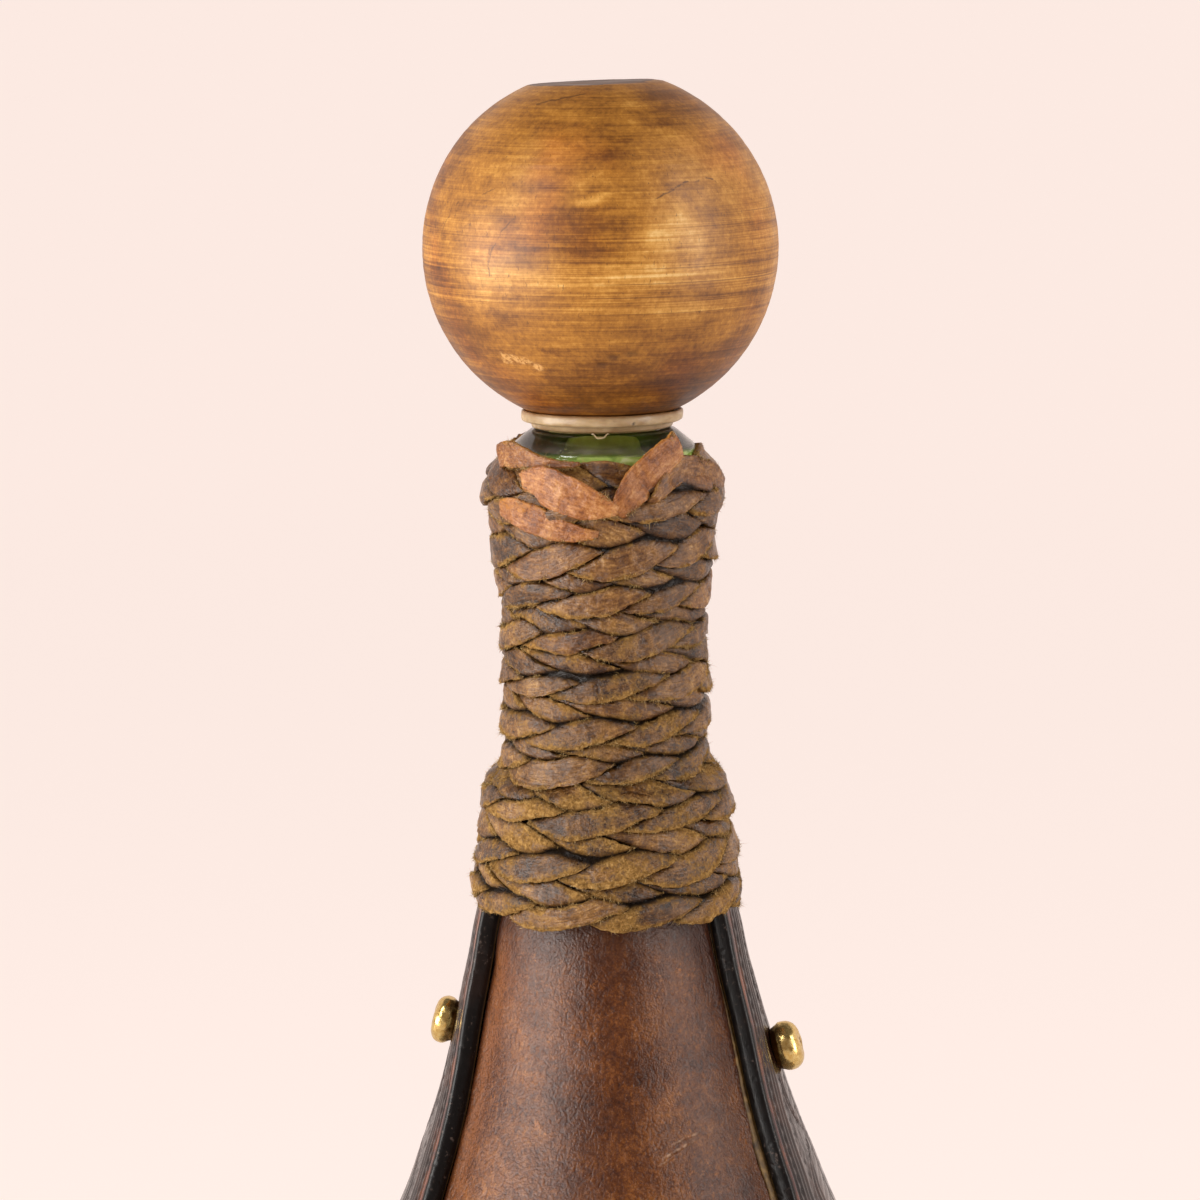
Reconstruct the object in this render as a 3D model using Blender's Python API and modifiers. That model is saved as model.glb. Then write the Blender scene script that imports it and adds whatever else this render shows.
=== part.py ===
"""A leather-covered glass carafe with a braided neck and a wooden ball stopper.

Metres, +Z up. The origin is at the middle of the flat leather base, where the
carafe stands. The front faces -Y and the two side straps lie on +X and -X.
Lengths below are in millimetres and become metres where a mesh is made.
"""

import math

import bmesh
import bpy
from mathutils import Matrix

MM = 0.001

# ---------------------------------------------------------------- dimensions
HEIGHT = 346.0  # floor to the flat on top of the ball

# stopper
BALL_R = 30.0
BALL_Z = 317.8  # height of the ball's centre
BALL_TOP_R = 9.7  # flat on top
BALL_FOOT_R = 12.7  # flat underneath
BALL_FOOT_Z = 290.4
DOWEL_R = 4.0
DOWEL_LOW, DOWEL_HIGH = 268.0, 309.0
DOWEL_CLEAR = 0.3
FLANGE_R = 13.7
FLANGE_TOP, FLANGE_LOW = 290.1, 288.2
STEP_R = 12.15
STEM_R = 7.2
FIN_R = 9.05
FIN_Z = (283.6, 279.4, 275.2, 271.0)
STEM_LOW = 264.0

# glass bottle
LIP_TOP = 287.4
BORE_R = 9.4
LIP_R = 15.95
NECK_R = 13.7
GLASS_WALL = 3.3
GLASS_LOW = 3.4
PUNT_TOP = 18.3
GLASS_SIDE = (  # (height, outer radius), from the neck down to the heel
    (240.0, 13.70),
    (232.0, 13.75),
    (226.0, 13.90),
    (220.0, 14.20),
    (212.0, 15.00),
    (206.0, 16.20),
    (200.4, 17.50),
    (195.2, 18.55),
    (188.1, 20.30),
    (179.0, 22.60),
    (170.5, 25.00),
    (161.6, 28.20),
    (152.9, 31.50),
    (142.0, 36.20),
    (130.0, 41.60),
    (115.0, 48.40),
    (100.0, 54.00),
    (85.0, 58.20),
    (72.0, 60.20),
    (60.0, 60.60),
    (45.0, 59.80),
    (30.0, 57.50),
    (18.0, 54.50),
    (10.0, 52.40),
    (5.0, 51.30),
    (0.0, 51.00),
)
SIDE_ROWS = (226, 216, 207, 199, 187, 174, 160, 145, 129, 113, 97, 81, 65, 48, 32, 18, 8)
ROUND_STEPS = 30  # facets round the bottle; each cover has half of them

# leather
LEATHER_GAP = 0.3
COVER_T = 1.8
COVER_TOP, COVER_LOW = 226.0, 3.9
SEAM_DEG = 0.5  # half of the seam left between the two covers
STRAP_GAP = 0.4
STRAP_T = 3.2
STRAP_SKIVED_T = 1.2  # thinned where it goes up under the braid
STRAP_TOP, STRAP_LOW = 222.0, 1.6
STRAP_HALF_DEG = (  # (height, half of the strap's width as an angle)
    (222.0, 21.0),
    (200.0, 22.6),
    (188.0, 23.6),
    (175.0, 26.4),
    (161.0, 28.6),
    (140.0, 29.6),
    (60.0, 30.0),
    (0.0, 30.0),
)
BASE_R, BASE_T = 52.8, 3.0

# braid: three flat laces wound side by side round the neck
BRAID_LOW, BRAID_HIGH = 206.2, 285.0
BRAID_PITCH = 16.5  # rise of one lace in one turn
LACE_GAP = 0.4
LACE_STEPS = 18  # facets in one turn
BRAID_IN = (
    (200.0, 20.80),
    (208.0, 20.60),
    (214.0, 19.50),
    (222.0, 18.50),
    (226.0, 18.00),
    (230.0, 16.90),
    (234.0, 14.50),
    (238.0, 14.20),
    (266.0, 14.20),
    (272.0, 15.60),
    (276.0, 16.45),
    (290.0, 16.45),
)
BRAID_OUT = (
    (200.0, 22.60),
    (207.5, 22.60),
    (211.0, 23.20),
    (214.4, 22.70),
    (219.7, 21.90),
    (224.9, 21.50),
    (228.4, 20.50),
    (231.0, 18.90),
    (234.0, 17.75),
    (261.0, 17.75),
    (264.7, 18.60),
    (268.1, 18.90),
    (275.0, 19.70),
    (278.4, 20.50),
    (281.8, 20.10),
    (283.5, 18.90),
    (285.2, 17.70),
    (290.0, 17.70),
)

# brass studs
STUD_R = 4.5
STUD_H = 4.6
SHANK_R = 1.3
SHANK_HOLE_R = 1.7
SHANK_L = 2.9
STUD_Z_LEFT = (183.4, 141.0, 98.0, 56.0)
STUD_Z_RIGHT = (179.0, 138.0, 97.0, 56.0)


# ------------------------------------------------------------------- helpers
def smooth(points):
    """A smooth monotone curve r(z) through (z, r) points."""
    pts = sorted(points)
    zs = [p[0] for p in pts]
    rs = [p[1] for p in pts]
    n = len(pts)
    step = [(rs[i + 1] - rs[i]) / (zs[i + 1] - zs[i]) for i in range(n - 1)]
    slope = [step[0]] + [0.0] * (n - 2) + [step[-1]]
    for i in range(1, n - 1):
        if step[i - 1] * step[i] > 0:
            a, b = zs[i] - zs[i - 1], zs[i + 1] - zs[i]
            w1, w2 = 2 * b + a, b + 2 * a
            slope[i] = (w1 + w2) / (w1 / step[i - 1] + w2 / step[i])

    def value(z):
        z = min(max(z, zs[0]), zs[-1])
        i = 0
        while i < n - 2 and z > zs[i + 1]:
            i += 1
        h = zs[i + 1] - zs[i]
        t = (z - zs[i]) / h
        return (
            (2 * t**3 - 3 * t**2 + 1) * rs[i]
            + (t**3 - 2 * t**2 + t) * h * slope[i]
            + (-2 * t**3 + 3 * t**2) * rs[i + 1]
            + (t**3 - t**2) * h * slope[i + 1]
        )

    return value


glass_r = smooth(GLASS_SIDE)
strap_half = smooth(STRAP_HALF_DEG)
braid_in = smooth(BRAID_IN)
braid_out = smooth(BRAID_OUT)


def slope_at(curve, z):
    return (curve(z + 0.5) - curve(z - 0.5)) / 1.0


def material(name, colour, roughness, metallic=0.0, transmission=0.0):
    made = bpy.data.materials.new(name)
    made.use_nodes = True
    shader = made.node_tree.nodes["Principled BSDF"]
    shader.inputs["Base Color"].default_value = (*colour, 1.0)
    shader.inputs["Roughness"].default_value = roughness
    shader.inputs["Metallic"].default_value = metallic
    shader.inputs["Transmission Weight"].default_value = transmission
    made.diffuse_color = (*colour, 1.0)
    return made


def add_object(name, mesh, collection, finish=None):
    obj = bpy.data.objects.new(name, mesh)
    collection.objects.link(obj)
    if finish:
        mesh.materials.append(finish)
    return obj


def profile_mesh(name, points, ring=False):
    """A polyline in the XZ plane, at +X, that a Screw modifier turns about Z."""
    mesh = bpy.data.meshes.new(name)
    verts = [(r * MM, 0.0, z * MM) for r, z in points]
    edges = [(i, i + 1) for i in range(len(verts) - 1)]
    if ring:
        edges.append((len(verts) - 1, 0))
    mesh.from_pydata(verts, edges, [])
    mesh.update()
    return mesh


def turned(name, points, steps, collection, finish, ring=False, degrees=360.0):
    obj = add_object(name, profile_mesh(name, points, ring), collection, finish)
    screw = obj.modifiers.new("Turn", "SCREW")
    screw.axis = "Z"
    screw.angle = math.radians(degrees)
    screw.steps = screw.render_steps = steps
    screw.use_smooth_shade = True
    screw.use_merge_vertices = degrees == 360.0
    screw.merge_threshold = 0.00001
    return obj


def arc(cx, cz, radius, start_deg, end_deg, count):
    """Points on a circle in the profile plane; 90 degrees is straight up."""
    out = []
    for i in range(count + 1):
        a = math.radians(start_deg + (end_deg - start_deg) * i / count)
        out.append((cx + radius * math.cos(a), cz + radius * math.sin(a)))
    return out


# ------------------------------------------------------------------ the bottle
def glass_profile():
    """From the middle of the inner floor, up inside, over the lip and down."""
    inner = [(0.0, 22.8), (10.0, 21.4), (26.0, 15.2), (37.0, 10.4), (44.0, 10.6), (48.2, 14.0)]
    for z in (26, 45, 65, 85, 105, 125, 145, 165, 185, 201, 216):
        inner.append((max(glass_r(z) - GLASS_WALL, BORE_R), float(z)))
    inner += [(BORE_R, 236.0), (BORE_R, LIP_TOP - 1.0), (BORE_R + 0.9, LIP_TOP)]
    lip = [
        (12.3, LIP_TOP),
        (14.6, LIP_TOP - 1.2),
        (LIP_R, LIP_TOP - 2.9),
        (LIP_R, LIP_TOP - 4.8),
        (15.1, LIP_TOP - 7.0),
        (13.9, LIP_TOP - 9.6),
        (NECK_R, 272.0),
        (NECK_R, 236.0),
    ]
    side = [(glass_r(z), float(z)) for z in SIDE_ROWS]
    low = [(50.4, 4.6), (48.8, GLASS_LOW), (43.0, GLASS_LOW), (26.0, 11.0), (11.0, 17.0), (0.0, PUNT_TOP)]
    return inner + lip + side + low


def cover_rows():
    return [z for z in SIDE_ROWS if z <= COVER_TOP] + [COVER_LOW]


def cover(name, turn_deg, collection, finish):
    """Half of the leather round the bottle: a turned surface given thickness."""
    points = [(glass_r(z) + LEATHER_GAP, float(z)) for z in cover_rows()]
    degrees = 180.0 - 2 * SEAM_DEG
    obj = turned(name, points, ROUND_STEPS // 2, collection, finish, degrees=degrees)
    obj.rotation_euler = (0.0, 0.0, math.radians(turn_deg + SEAM_DEG))
    solid = obj.modifiers.new("Thickness", "SOLIDIFY")
    solid.thickness = COVER_T * MM
    solid.offset = 1.0
    solid.use_even_offset = True
    return obj


def strap_inner_r(z):
    tilt = math.sqrt(1.0 + slope_at(glass_r, z) ** 2)
    return glass_r(z) + (LEATHER_GAP + COVER_T + STRAP_GAP) * tilt


def strap_t(z):
    """Full thickness below the braid, thinned above its lower edge."""
    t = min(max((z - 203.2) / 2.4, 0.0), 1.0)
    return STRAP_T + (STRAP_SKIVED_T - STRAP_T) * t


def strap(name, side, collection, finish):
    """A leather gore down one side: a grid laid on the cover, given thickness."""
    rows = [STRAP_TOP, 214.0, 205.6, 203.2] + [z for z in SIDE_ROWS if z < 203] + [STRAP_LOW]
    columns = 8
    bm = bmesh.new()
    bmesh.ops.create_grid(bm, x_segments=columns, y_segments=len(rows) - 1, size=1.0)
    layer = bm.verts.layers.deform.verify()
    middle = 0.0 if side > 0 else math.pi
    for vert in bm.verts:
        row = round((vert.co.y + 1.0) / 2.0 * (len(rows) - 1))
        z = rows[len(rows) - 1 - row]
        angle = middle + math.radians(strap_half(z)) * vert.co.x
        r = strap_inner_r(z)
        vert.co = (r * math.cos(angle) * MM, r * math.sin(angle) * MM, z * MM)
        vert[layer][0] = strap_t(z) / STRAP_T
    bm.normal_update()
    for face in bm.faces:
        centre = face.calc_center_median()
        if face.normal.x * centre.x + face.normal.y * centre.y < 0:
            face.normal_flip()
    mesh = bpy.data.meshes.new(name)
    bm.to_mesh(mesh)
    bm.free()
    mesh.shade_smooth()
    obj = add_object(name, mesh, collection, finish)
    obj.vertex_groups.new(name="thickness")
    solid = obj.modifiers.new("Thickness", "SOLIDIFY")
    solid.thickness = STRAP_T * MM
    solid.offset = 1.0
    solid.use_even_offset = True
    solid.vertex_group = "thickness"
    solid.thickness_vertex_group = 0.0
    return obj


def stud_frame(z, side):
    """Where a stud meets the strap's face, and the direction it points."""
    slope = slope_at(glass_r, z)
    length = math.hypot(1.0, slope)
    nx, nz = 1.0 / length, -slope / length
    r = glass_r(z) + (LEATHER_GAP + COVER_T + STRAP_GAP) * length
    x = (r + nx * STRAP_T) * side
    height = z + nz * STRAP_T
    turn = Matrix.Rotation(side * math.atan2(nx, nz), 4, "Y")
    return Matrix.Translation((x * MM, 0.0, height * MM)) @ turn


def stud_profile():
    """A domed head, flattened on top with a shallow dimple, on a short shank."""
    head = [
        (0.0, STUD_H - 0.25),
        (1.3, STUD_H),
        (2.5, STUD_H - 0.35),
        (3.7, STUD_H - 1.35),
        (4.35, STUD_H - 2.7),
        (STUD_R, 1.1),
        (4.2, 0.35),
    ]
    return head + [(SHANK_R, 0.35), (SHANK_R, -SHANK_L), (0.0, -SHANK_L)]


def lace(name, index, collection, finish):
    """One of three flat laces wound round the neck, lofted along its helix."""
    width = BRAID_PITCH / 3.0 - LACE_GAP
    low = BRAID_LOW + width / 2.0
    high = BRAID_HIGH - width / 2.0
    turns = (high - low) / BRAID_PITCH
    count = int(round(turns * LACE_STEPS))
    first = index * LACE_STEPS // 3
    bm = bmesh.new()
    sections = []
    for i in range(count + 1):
        angle = 2.0 * math.pi * (i + first) / LACE_STEPS
        z = low + BRAID_PITCH * i / LACE_STEPS
        z0, z1 = z - width / 2.0, z + width / 2.0
        corners = (
            (braid_out(z1), z1),
            (braid_out(z0), z0),
            (braid_in(z0), z0),
            (braid_in(z1), z1),
        )
        sections.append([
            bm.verts.new((r * math.cos(angle) * MM, r * math.sin(angle) * MM, h * MM))
            for r, h in corners
        ])
    for a, b in zip(sections, sections[1:]):
        for k in range(4):
            m = (k + 1) % 4
            bm.faces.new((a[k], a[m], b[m], b[k]))
    bm.faces.new(list(reversed(sections[0])))
    bm.faces.new(sections[-1])
    bmesh.ops.recalc_face_normals(bm, faces=bm.faces)
    mesh = bpy.data.meshes.new(name)
    bm.to_mesh(mesh)
    bm.free()
    return add_object(name, mesh, collection, finish)


# ----------------------------------------------------------------- the stopper
def ball_profile():
    """A turned ball with a flat top, a flat foot and a blind hole for the dowel."""
    hole = DOWEL_R + DOWEL_CLEAR
    start = math.degrees(math.asin((HEIGHT - 0.25 - BALL_Z) / BALL_R))
    lowest = math.degrees(math.asin((BALL_FOOT_Z + 0.45 - BALL_Z) / BALL_R))
    return (
        [(0.0, HEIGHT)]
        + [(BALL_TOP_R, HEIGHT)]
        + arc(0.0, BALL_Z, BALL_R, start, lowest, 13)
        + [(BALL_FOOT_R, BALL_FOOT_Z)]
        + [(hole, BALL_FOOT_Z), (hole, DOWEL_HIGH + 0.4), (0.0, DOWEL_HIGH + 0.4)]
    )


def plug_profile():
    """Flange, step and finned stem, with a blind hole down the middle."""
    hole = DOWEL_R + DOWEL_CLEAR
    points = [(0.0, DOWEL_LOW - 0.4), (hole, DOWEL_LOW - 0.4), (hole, FLANGE_TOP)]
    points += [
        (FLANGE_R - 0.4, FLANGE_TOP),
        (FLANGE_R, FLANGE_TOP - 0.5),
        (FLANGE_R, FLANGE_LOW + 0.4),
        (FLANGE_R - 0.4, FLANGE_LOW),
        (STEP_R, FLANGE_LOW),
        (STEP_R, LIP_TOP + 0.3),
        (STEM_R, LIP_TOP + 0.3),
    ]
    for z in FIN_Z:
        points += [(STEM_R, z + 0.9), (FIN_R, z + 0.2), (STEM_R, z - 0.6)]
    points += [(STEM_R, STEM_LOW + 0.8), (STEM_R - 0.8, STEM_LOW), (0.0, STEM_LOW)]
    return points


def main():
    for obj in list(bpy.data.objects):
        bpy.data.objects.remove(obj, do_unlink=True)
    scene = bpy.context.scene
    parts = bpy.data.collections.new("leather_covered_carafe")
    cutters = bpy.data.collections.new("cutters")
    scene.collection.children.link(parts)
    scene.collection.children.link(cutters)

    glass = material("green_glass", (0.10, 0.28, 0.09), 0.05, transmission=0.9)
    leather = material("brown_leather", (0.16, 0.07, 0.04), 0.45)
    tooled = material("tooled_black_leather", (0.035, 0.018, 0.014), 0.3)
    laced = material("lace_leather", (0.20, 0.11, 0.045), 0.7)
    sole = material("base_leather", (0.10, 0.055, 0.03), 0.7)
    brass = material("aged_brass", (0.62, 0.44, 0.14), 0.3, metallic=1.0)
    wood = material("stained_wood", (0.42, 0.23, 0.07), 0.4)
    bare_wood = material("bare_wood", (0.55, 0.40, 0.22), 0.7)
    plastic = material("cream_plastic", (0.72, 0.66, 0.48), 0.35)

    turned("glass_bottle", glass_profile(), ROUND_STEPS, parts, glass)
    cover("back_cover", 0.0, parts, leather)
    cover("front_cover", 180.0, parts, leather)
    turned(
        "base_disc",
        [(0.0, BASE_T), (BASE_R - 0.7, BASE_T), (BASE_R, BASE_T - 0.7), (BASE_R, 0.7), (BASE_R - 0.7, 0.0), (0.0, 0.0)],
        36,
        parts,
        sole,
    )

    stud_mesh = profile_mesh("stud", stud_profile())
    stud_mesh.materials.append(brass)
    for name, side, heights in (("left", -1, STUD_Z_LEFT), ("right", 1, STUD_Z_RIGHT)):
        belt = strap(name + "_strap", side, parts, tooled)
        for number, z in enumerate(heights, 1):
            place = stud_frame(z, side)
            stud = bpy.data.objects.new(f"stud_{name}_{number}", stud_mesh)
            parts.objects.link(stud)
            stud.matrix_world = place
            screw = stud.modifiers.new("Turn", "SCREW")
            screw.axis = "Z"
            screw.steps = screw.render_steps = 12
            screw.use_smooth_shade = True
            screw.use_merge_vertices = True
            screw.merge_threshold = 0.00001

            bm = bmesh.new()
            bmesh.ops.create_cone(
                bm,
                cap_ends=True,
                segments=12,
                radius1=SHANK_HOLE_R * MM,
                radius2=SHANK_HOLE_R * MM,
                depth=3.0 * STRAP_T * MM,
            )
            drill_mesh = bpy.data.meshes.new(f"drill_{name}_{number}")
            bm.to_mesh(drill_mesh)
            bm.free()
            drill = bpy.data.objects.new(f"drill_{name}_{number}", drill_mesh)
            cutters.objects.link(drill)
            drill.matrix_world = place
            drill.hide_render = True
            drill.display_type = "WIRE"
            cut = belt.modifiers.new(f"Hole {number}", "BOOLEAN")
            cut.operation = "DIFFERENCE"
            cut.solver = "EXACT"
            cut.object = drill

    for index in range(3):
        lace(f"lace_{index + 1}", index, parts, laced)

    # The stopper: everything turns about the bottle's own axis.
    turned("stopper_ball", ball_profile(), 32, parts, wood)
    turned("stopper_plug", plug_profile(), 24, parts, plastic)
    turned(
        "stopper_dowel",
        [(0.0, DOWEL_HIGH), (DOWEL_R - 0.5, DOWEL_HIGH), (DOWEL_R, DOWEL_HIGH - 0.6), (DOWEL_R, DOWEL_LOW + 0.6), (DOWEL_R - 0.5, DOWEL_LOW), (0.0, DOWEL_LOW)],
        18,
        parts,
        bare_wood,
    )


main()
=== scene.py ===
"""Looks of a leather-covered glass carafe with a braided neck and a ball stopper.

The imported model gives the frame: every piece here is made where its CAD node
is, rides on the same body and carries the finer shape and the finish. Lengths
are in millimetres and become metres where a mesh is made. The front faces -Y.
"""

import math

import bpy
import numpy as np
from mathutils import Matrix, Vector


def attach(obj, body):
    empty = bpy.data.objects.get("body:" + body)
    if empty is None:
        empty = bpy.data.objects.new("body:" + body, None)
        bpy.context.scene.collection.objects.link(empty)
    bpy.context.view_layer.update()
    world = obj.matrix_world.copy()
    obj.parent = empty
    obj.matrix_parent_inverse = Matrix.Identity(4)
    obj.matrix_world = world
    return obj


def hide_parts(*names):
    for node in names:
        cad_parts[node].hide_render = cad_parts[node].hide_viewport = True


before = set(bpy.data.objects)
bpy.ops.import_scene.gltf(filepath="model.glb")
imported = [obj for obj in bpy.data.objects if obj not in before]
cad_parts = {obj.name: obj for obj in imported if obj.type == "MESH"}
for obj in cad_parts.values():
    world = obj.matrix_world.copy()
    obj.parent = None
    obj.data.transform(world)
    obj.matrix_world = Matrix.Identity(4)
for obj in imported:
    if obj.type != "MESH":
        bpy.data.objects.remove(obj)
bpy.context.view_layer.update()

MM = 0.001
PI = math.pi


# ------------------------------------------------------------------- numbers
BALL_R, BALL_Z = 30.0, 317.8
BALL_TOP_R, BALL_FOOT_R, BALL_FOOT_Z, HEIGHT = 9.7, 12.7, 290.4, 346.0
GLASS_WALL, GLASS_LOW, PUNT_TOP, BORE_R, LIP_TOP = 3.3, 3.4, 18.3, 9.4, 287.4
LEATHER_GAP, COVER_T, COVER_TOP, COVER_LOW = 0.3, 1.8, 226.0, 3.9
STRAP_GAP, STRAP_T, STRAP_SKIVED_T = 0.4, 3.2, 1.2
STRAP_TOP, STRAP_LOW = 222.0, 1.6
BASE_R, BASE_T = 52.8, 3.0
STUD_R, STUD_H, SHANK_R, SHANK_HOLE_R, SHANK_L = 4.5, 4.6, 1.3, 1.7, 2.9
STUD_Z_LEFT = (183.4, 141.0, 98.0, 56.0)
STUD_Z_RIGHT = (179.0, 138.0, 97.0, 56.0)
GLASS_SIDE = (
    (240.0, 13.70), (232.0, 13.75), (226.0, 13.90), (220.0, 14.20), (212.0, 15.00),
    (206.0, 16.20), (200.4, 17.50), (195.2, 18.55), (188.1, 20.30), (179.0, 22.60),
    (170.5, 25.00), (161.6, 28.20), (152.9, 31.50), (142.0, 36.20), (130.0, 41.60),
    (115.0, 48.40), (100.0, 54.00), (85.0, 58.20), (72.0, 60.20), (60.0, 60.60),
    (45.0, 59.80), (30.0, 57.50), (18.0, 54.50), (10.0, 52.40), (5.0, 51.30),
    (0.0, 51.00),
)
STRAP_HALF_DEG = (
    (222.0, 21.0), (200.0, 22.6), (188.0, 23.6), (175.0, 26.4), (161.0, 28.6),
    (140.0, 29.6), (60.0, 30.0), (0.0, 30.0),
)
BRAID_OUT = (
    (200.0, 22.60), (207.5, 22.60), (211.0, 23.20), (214.4, 22.70), (219.7, 21.90),
    (224.9, 21.50), (227.5, 21.20), (229.5, 20.60), (231.3, 18.60), (233.2, 17.75), (261.0, 17.75),
    (264.7, 18.60), (268.1, 18.90), (275.0, 19.70), (278.4, 20.50), (281.8, 20.10),
    (283.5, 18.90), (285.2, 17.70), (290.0, 17.70),
)


# ------------------------------------------------------------------- helpers
def smooth(points):
    """A smooth monotone curve r(z) through (z, r) points, for arrays."""
    pts = np.array(sorted(points), float)
    zs, rs = pts[:, 0], pts[:, 1]
    wide = np.diff(zs)
    step = np.diff(rs) / wide
    slope = np.zeros(len(zs))
    slope[0], slope[-1] = step[0], step[-1]
    for i in range(1, len(zs) - 1):
        if step[i - 1] * step[i] > 0:
            a, b = wide[i - 1], wide[i]
            w1, w2 = 2 * b + a, b + 2 * a
            slope[i] = (w1 + w2) / (w1 / step[i - 1] + w2 / step[i])

    def value(z):
        z = np.clip(z, zs[0], zs[-1])
        i = np.clip(np.searchsorted(zs, z, side="right") - 1, 0, len(zs) - 2)
        h = wide[i]
        t = (z - zs[i]) / h
        return (
            (2 * t**3 - 3 * t**2 + 1) * rs[i]
            + (t**3 - 2 * t**2 + t) * h * slope[i]
            + (-2 * t**3 + 3 * t**2) * rs[i + 1]
            + (t**3 - t**2) * h * slope[i + 1]
        )

    return value


glass_r = smooth(GLASS_SIDE)
strap_half = smooth([(z, math.radians(d)) for z, d in STRAP_HALF_DEG])
braid_out = smooth(BRAID_OUT)


def glass_slope(z):
    return (glass_r(z + 0.5) - glass_r(z - 0.5)) / 1.0


def lean(z):
    """How much a layer of leather widens, square to the side, at a height."""
    return np.sqrt(1 + glass_slope(z) ** 2)


def step01(x, a=0.0, b=1.0):
    x = np.clip((x - a) / (b - a), 0, 1)
    return x * x * (3 - 2 * x)


def drift(z):
    """The leather on the shoulder sits a little to the right of the axis."""
    return 1.2 * step01(206 - z, 0, 53) * step01(z, 40, 110)


def noise(points, seed=0):
    """Smooth noise, about -1 to 1, at an array of points (n, 3)."""
    p = np.asarray(points, float)
    cell = np.floor(p).astype(np.int64)
    f = p - cell
    f = f * f * f * (f * (f * 6 - 15) + 10)

    def corner(dx, dy, dz):
        h = (
            (cell[:, 0] + dx) * 73856093
            ^ (cell[:, 1] + dy) * 19349663
            ^ (cell[:, 2] + dz) * 83492791
            ^ (seed + 7) * 2654435
        ) & 0xFFFFFFFF
        h = ((h ^ (h >> 15)) * 2246822519) & 0xFFFFFFFF
        h = ((h ^ (h >> 13)) * 3266489917) & 0xFFFFFFFF
        h = h ^ (h >> 16)
        return (h & 0xFFFF) / 32767.5 - 1

    x, y, z = f[:, 0], f[:, 1], f[:, 2]
    c00 = corner(0, 0, 0) * (1 - x) + corner(1, 0, 0) * x
    c10 = corner(0, 1, 0) * (1 - x) + corner(1, 1, 0) * x
    c01 = corner(0, 0, 1) * (1 - x) + corner(1, 0, 1) * x
    c11 = corner(0, 1, 1) * (1 - x) + corner(1, 1, 1) * x
    return (c00 * (1 - y) + c10 * y) * (1 - z) + (c01 * (1 - y) + c11 * y) * z


def layers(points, count=4, seed=0):
    """Several octaves of noise."""
    p = np.asarray(points, float)
    total, size = np.zeros(len(p)), 1.0
    for i in range(count):
        total += size * noise(p * 2**i + 11.3 * i, seed + i)
        size *= 0.5
    return total


def line_noise(x, seed=0):
    """Smooth noise along one number."""
    x = np.asarray(x, float)
    return noise(np.stack([x, 0 * x + 0.5, 0 * x + 0.5], 1), seed)


def blob(points, centre, radii, hard=1.0):
    """1 at a centre, falling to 0 at the radii."""
    d = (np.asarray(points) - np.array(centre)) / np.array(radii)
    return np.clip((1 - np.sqrt((d * d).sum(1))) * hard, 0, 1)


def grid_quads(rows, cols, wrap_cols=False, wrap_rows=False, first=0):
    """Quads of a grid of rows x cols points."""
    r = np.arange(rows if wrap_rows else rows - 1)
    c = np.arange(cols if wrap_cols else cols - 1)
    rr, cc = np.meshgrid(r, c, indexing="ij")
    r2, c2 = (rr + 1) % rows, (cc + 1) % cols
    quads = np.stack(
        [rr * cols + cc, rr * cols + c2, r2 * cols + c2, r2 * cols + cc], -1
    )
    return quads.reshape(-1, 4) + first


def volume6(points, groups):
    """Six times the signed volume of a closed mesh."""
    total = 0.0
    for faces in groups:
        a = points[faces[:, 0]]
        for i in range(1, faces.shape[1] - 1):
            b, c = points[faces[:, i]], points[faces[:, i + 1]]
            total += float(np.einsum("ij,ij->i", a, np.cross(b, c)).sum())
    return total


def make(name, points, groups, material, body, nodes=(), attributes=None):
    """A mesh object from arrays in millimetres, facing outward, that rides on a body."""
    points = np.asarray(points, float)
    groups = [np.asarray(g, np.int64) for g in groups if len(g)]
    if volume6(points, groups) < 0:
        groups = [g[:, ::-1] for g in groups]
    loops = np.concatenate([g.ravel() for g in groups])
    counts = np.concatenate([np.full(len(g), g.shape[1]) for g in groups])
    starts = np.concatenate([[0], np.cumsum(counts)[:-1]])
    mesh = bpy.data.meshes.new(name)
    mesh.vertices.add(len(points))
    mesh.vertices.foreach_set("co", (points * MM).astype(np.float32).ravel())
    mesh.loops.add(len(loops))
    mesh.loops.foreach_set("vertex_index", loops.astype(np.int32))
    mesh.polygons.add(len(counts))
    mesh.polygons.foreach_set("loop_start", starts.astype(np.int32))
    mesh.update(calc_edges=True)
    mesh.polygons.foreach_set("use_smooth", np.ones(len(counts), bool))
    for key, values in (attributes or {}).items():
        made = mesh.attributes.new(key, "FLOAT", "POINT")
        made.data.foreach_set("value", np.asarray(values, np.float32))
    mesh.materials.append(material)
    mesh.update()
    obj = bpy.data.objects.new(name, mesh)
    bpy.context.scene.collection.objects.link(obj)
    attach(obj, body)
    if nodes:
        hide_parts(*nodes)
    return obj


def round_points(profile, steps, turn=0.0):
    """Points of a profile [(r, z)] turned about Z, row by row."""
    profile = np.asarray(profile, float)
    a = np.linspace(0, 2 * PI, steps, endpoint=False) + turn
    r = profile[:, 0][:, None]
    z = np.repeat(profile[:, 1][:, None], steps, 1)
    return np.stack([r * np.sin(a), -r * np.cos(a), z], -1).reshape(-1, 3)


def lathe(profile, steps):
    """Points and faces of a profile whose two ends lie on the axis."""
    profile = np.asarray(profile, float)
    middle = profile[1:-1]
    points = round_points(middle, steps)
    n = len(points)
    points = np.concatenate([points, [[0, 0, profile[0, 1]], [0, 0, profile[-1, 1]]]])
    i = np.arange(steps)
    j = (i + 1) % steps
    last = (len(middle) - 1) * steps
    return points, [
        grid_quads(len(middle), steps, wrap_cols=True),
        np.stack([np.full(steps, n), j, i], 1),
        np.stack([np.full(steps, n + 1), last + i, last + j], 1),
    ]


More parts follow.
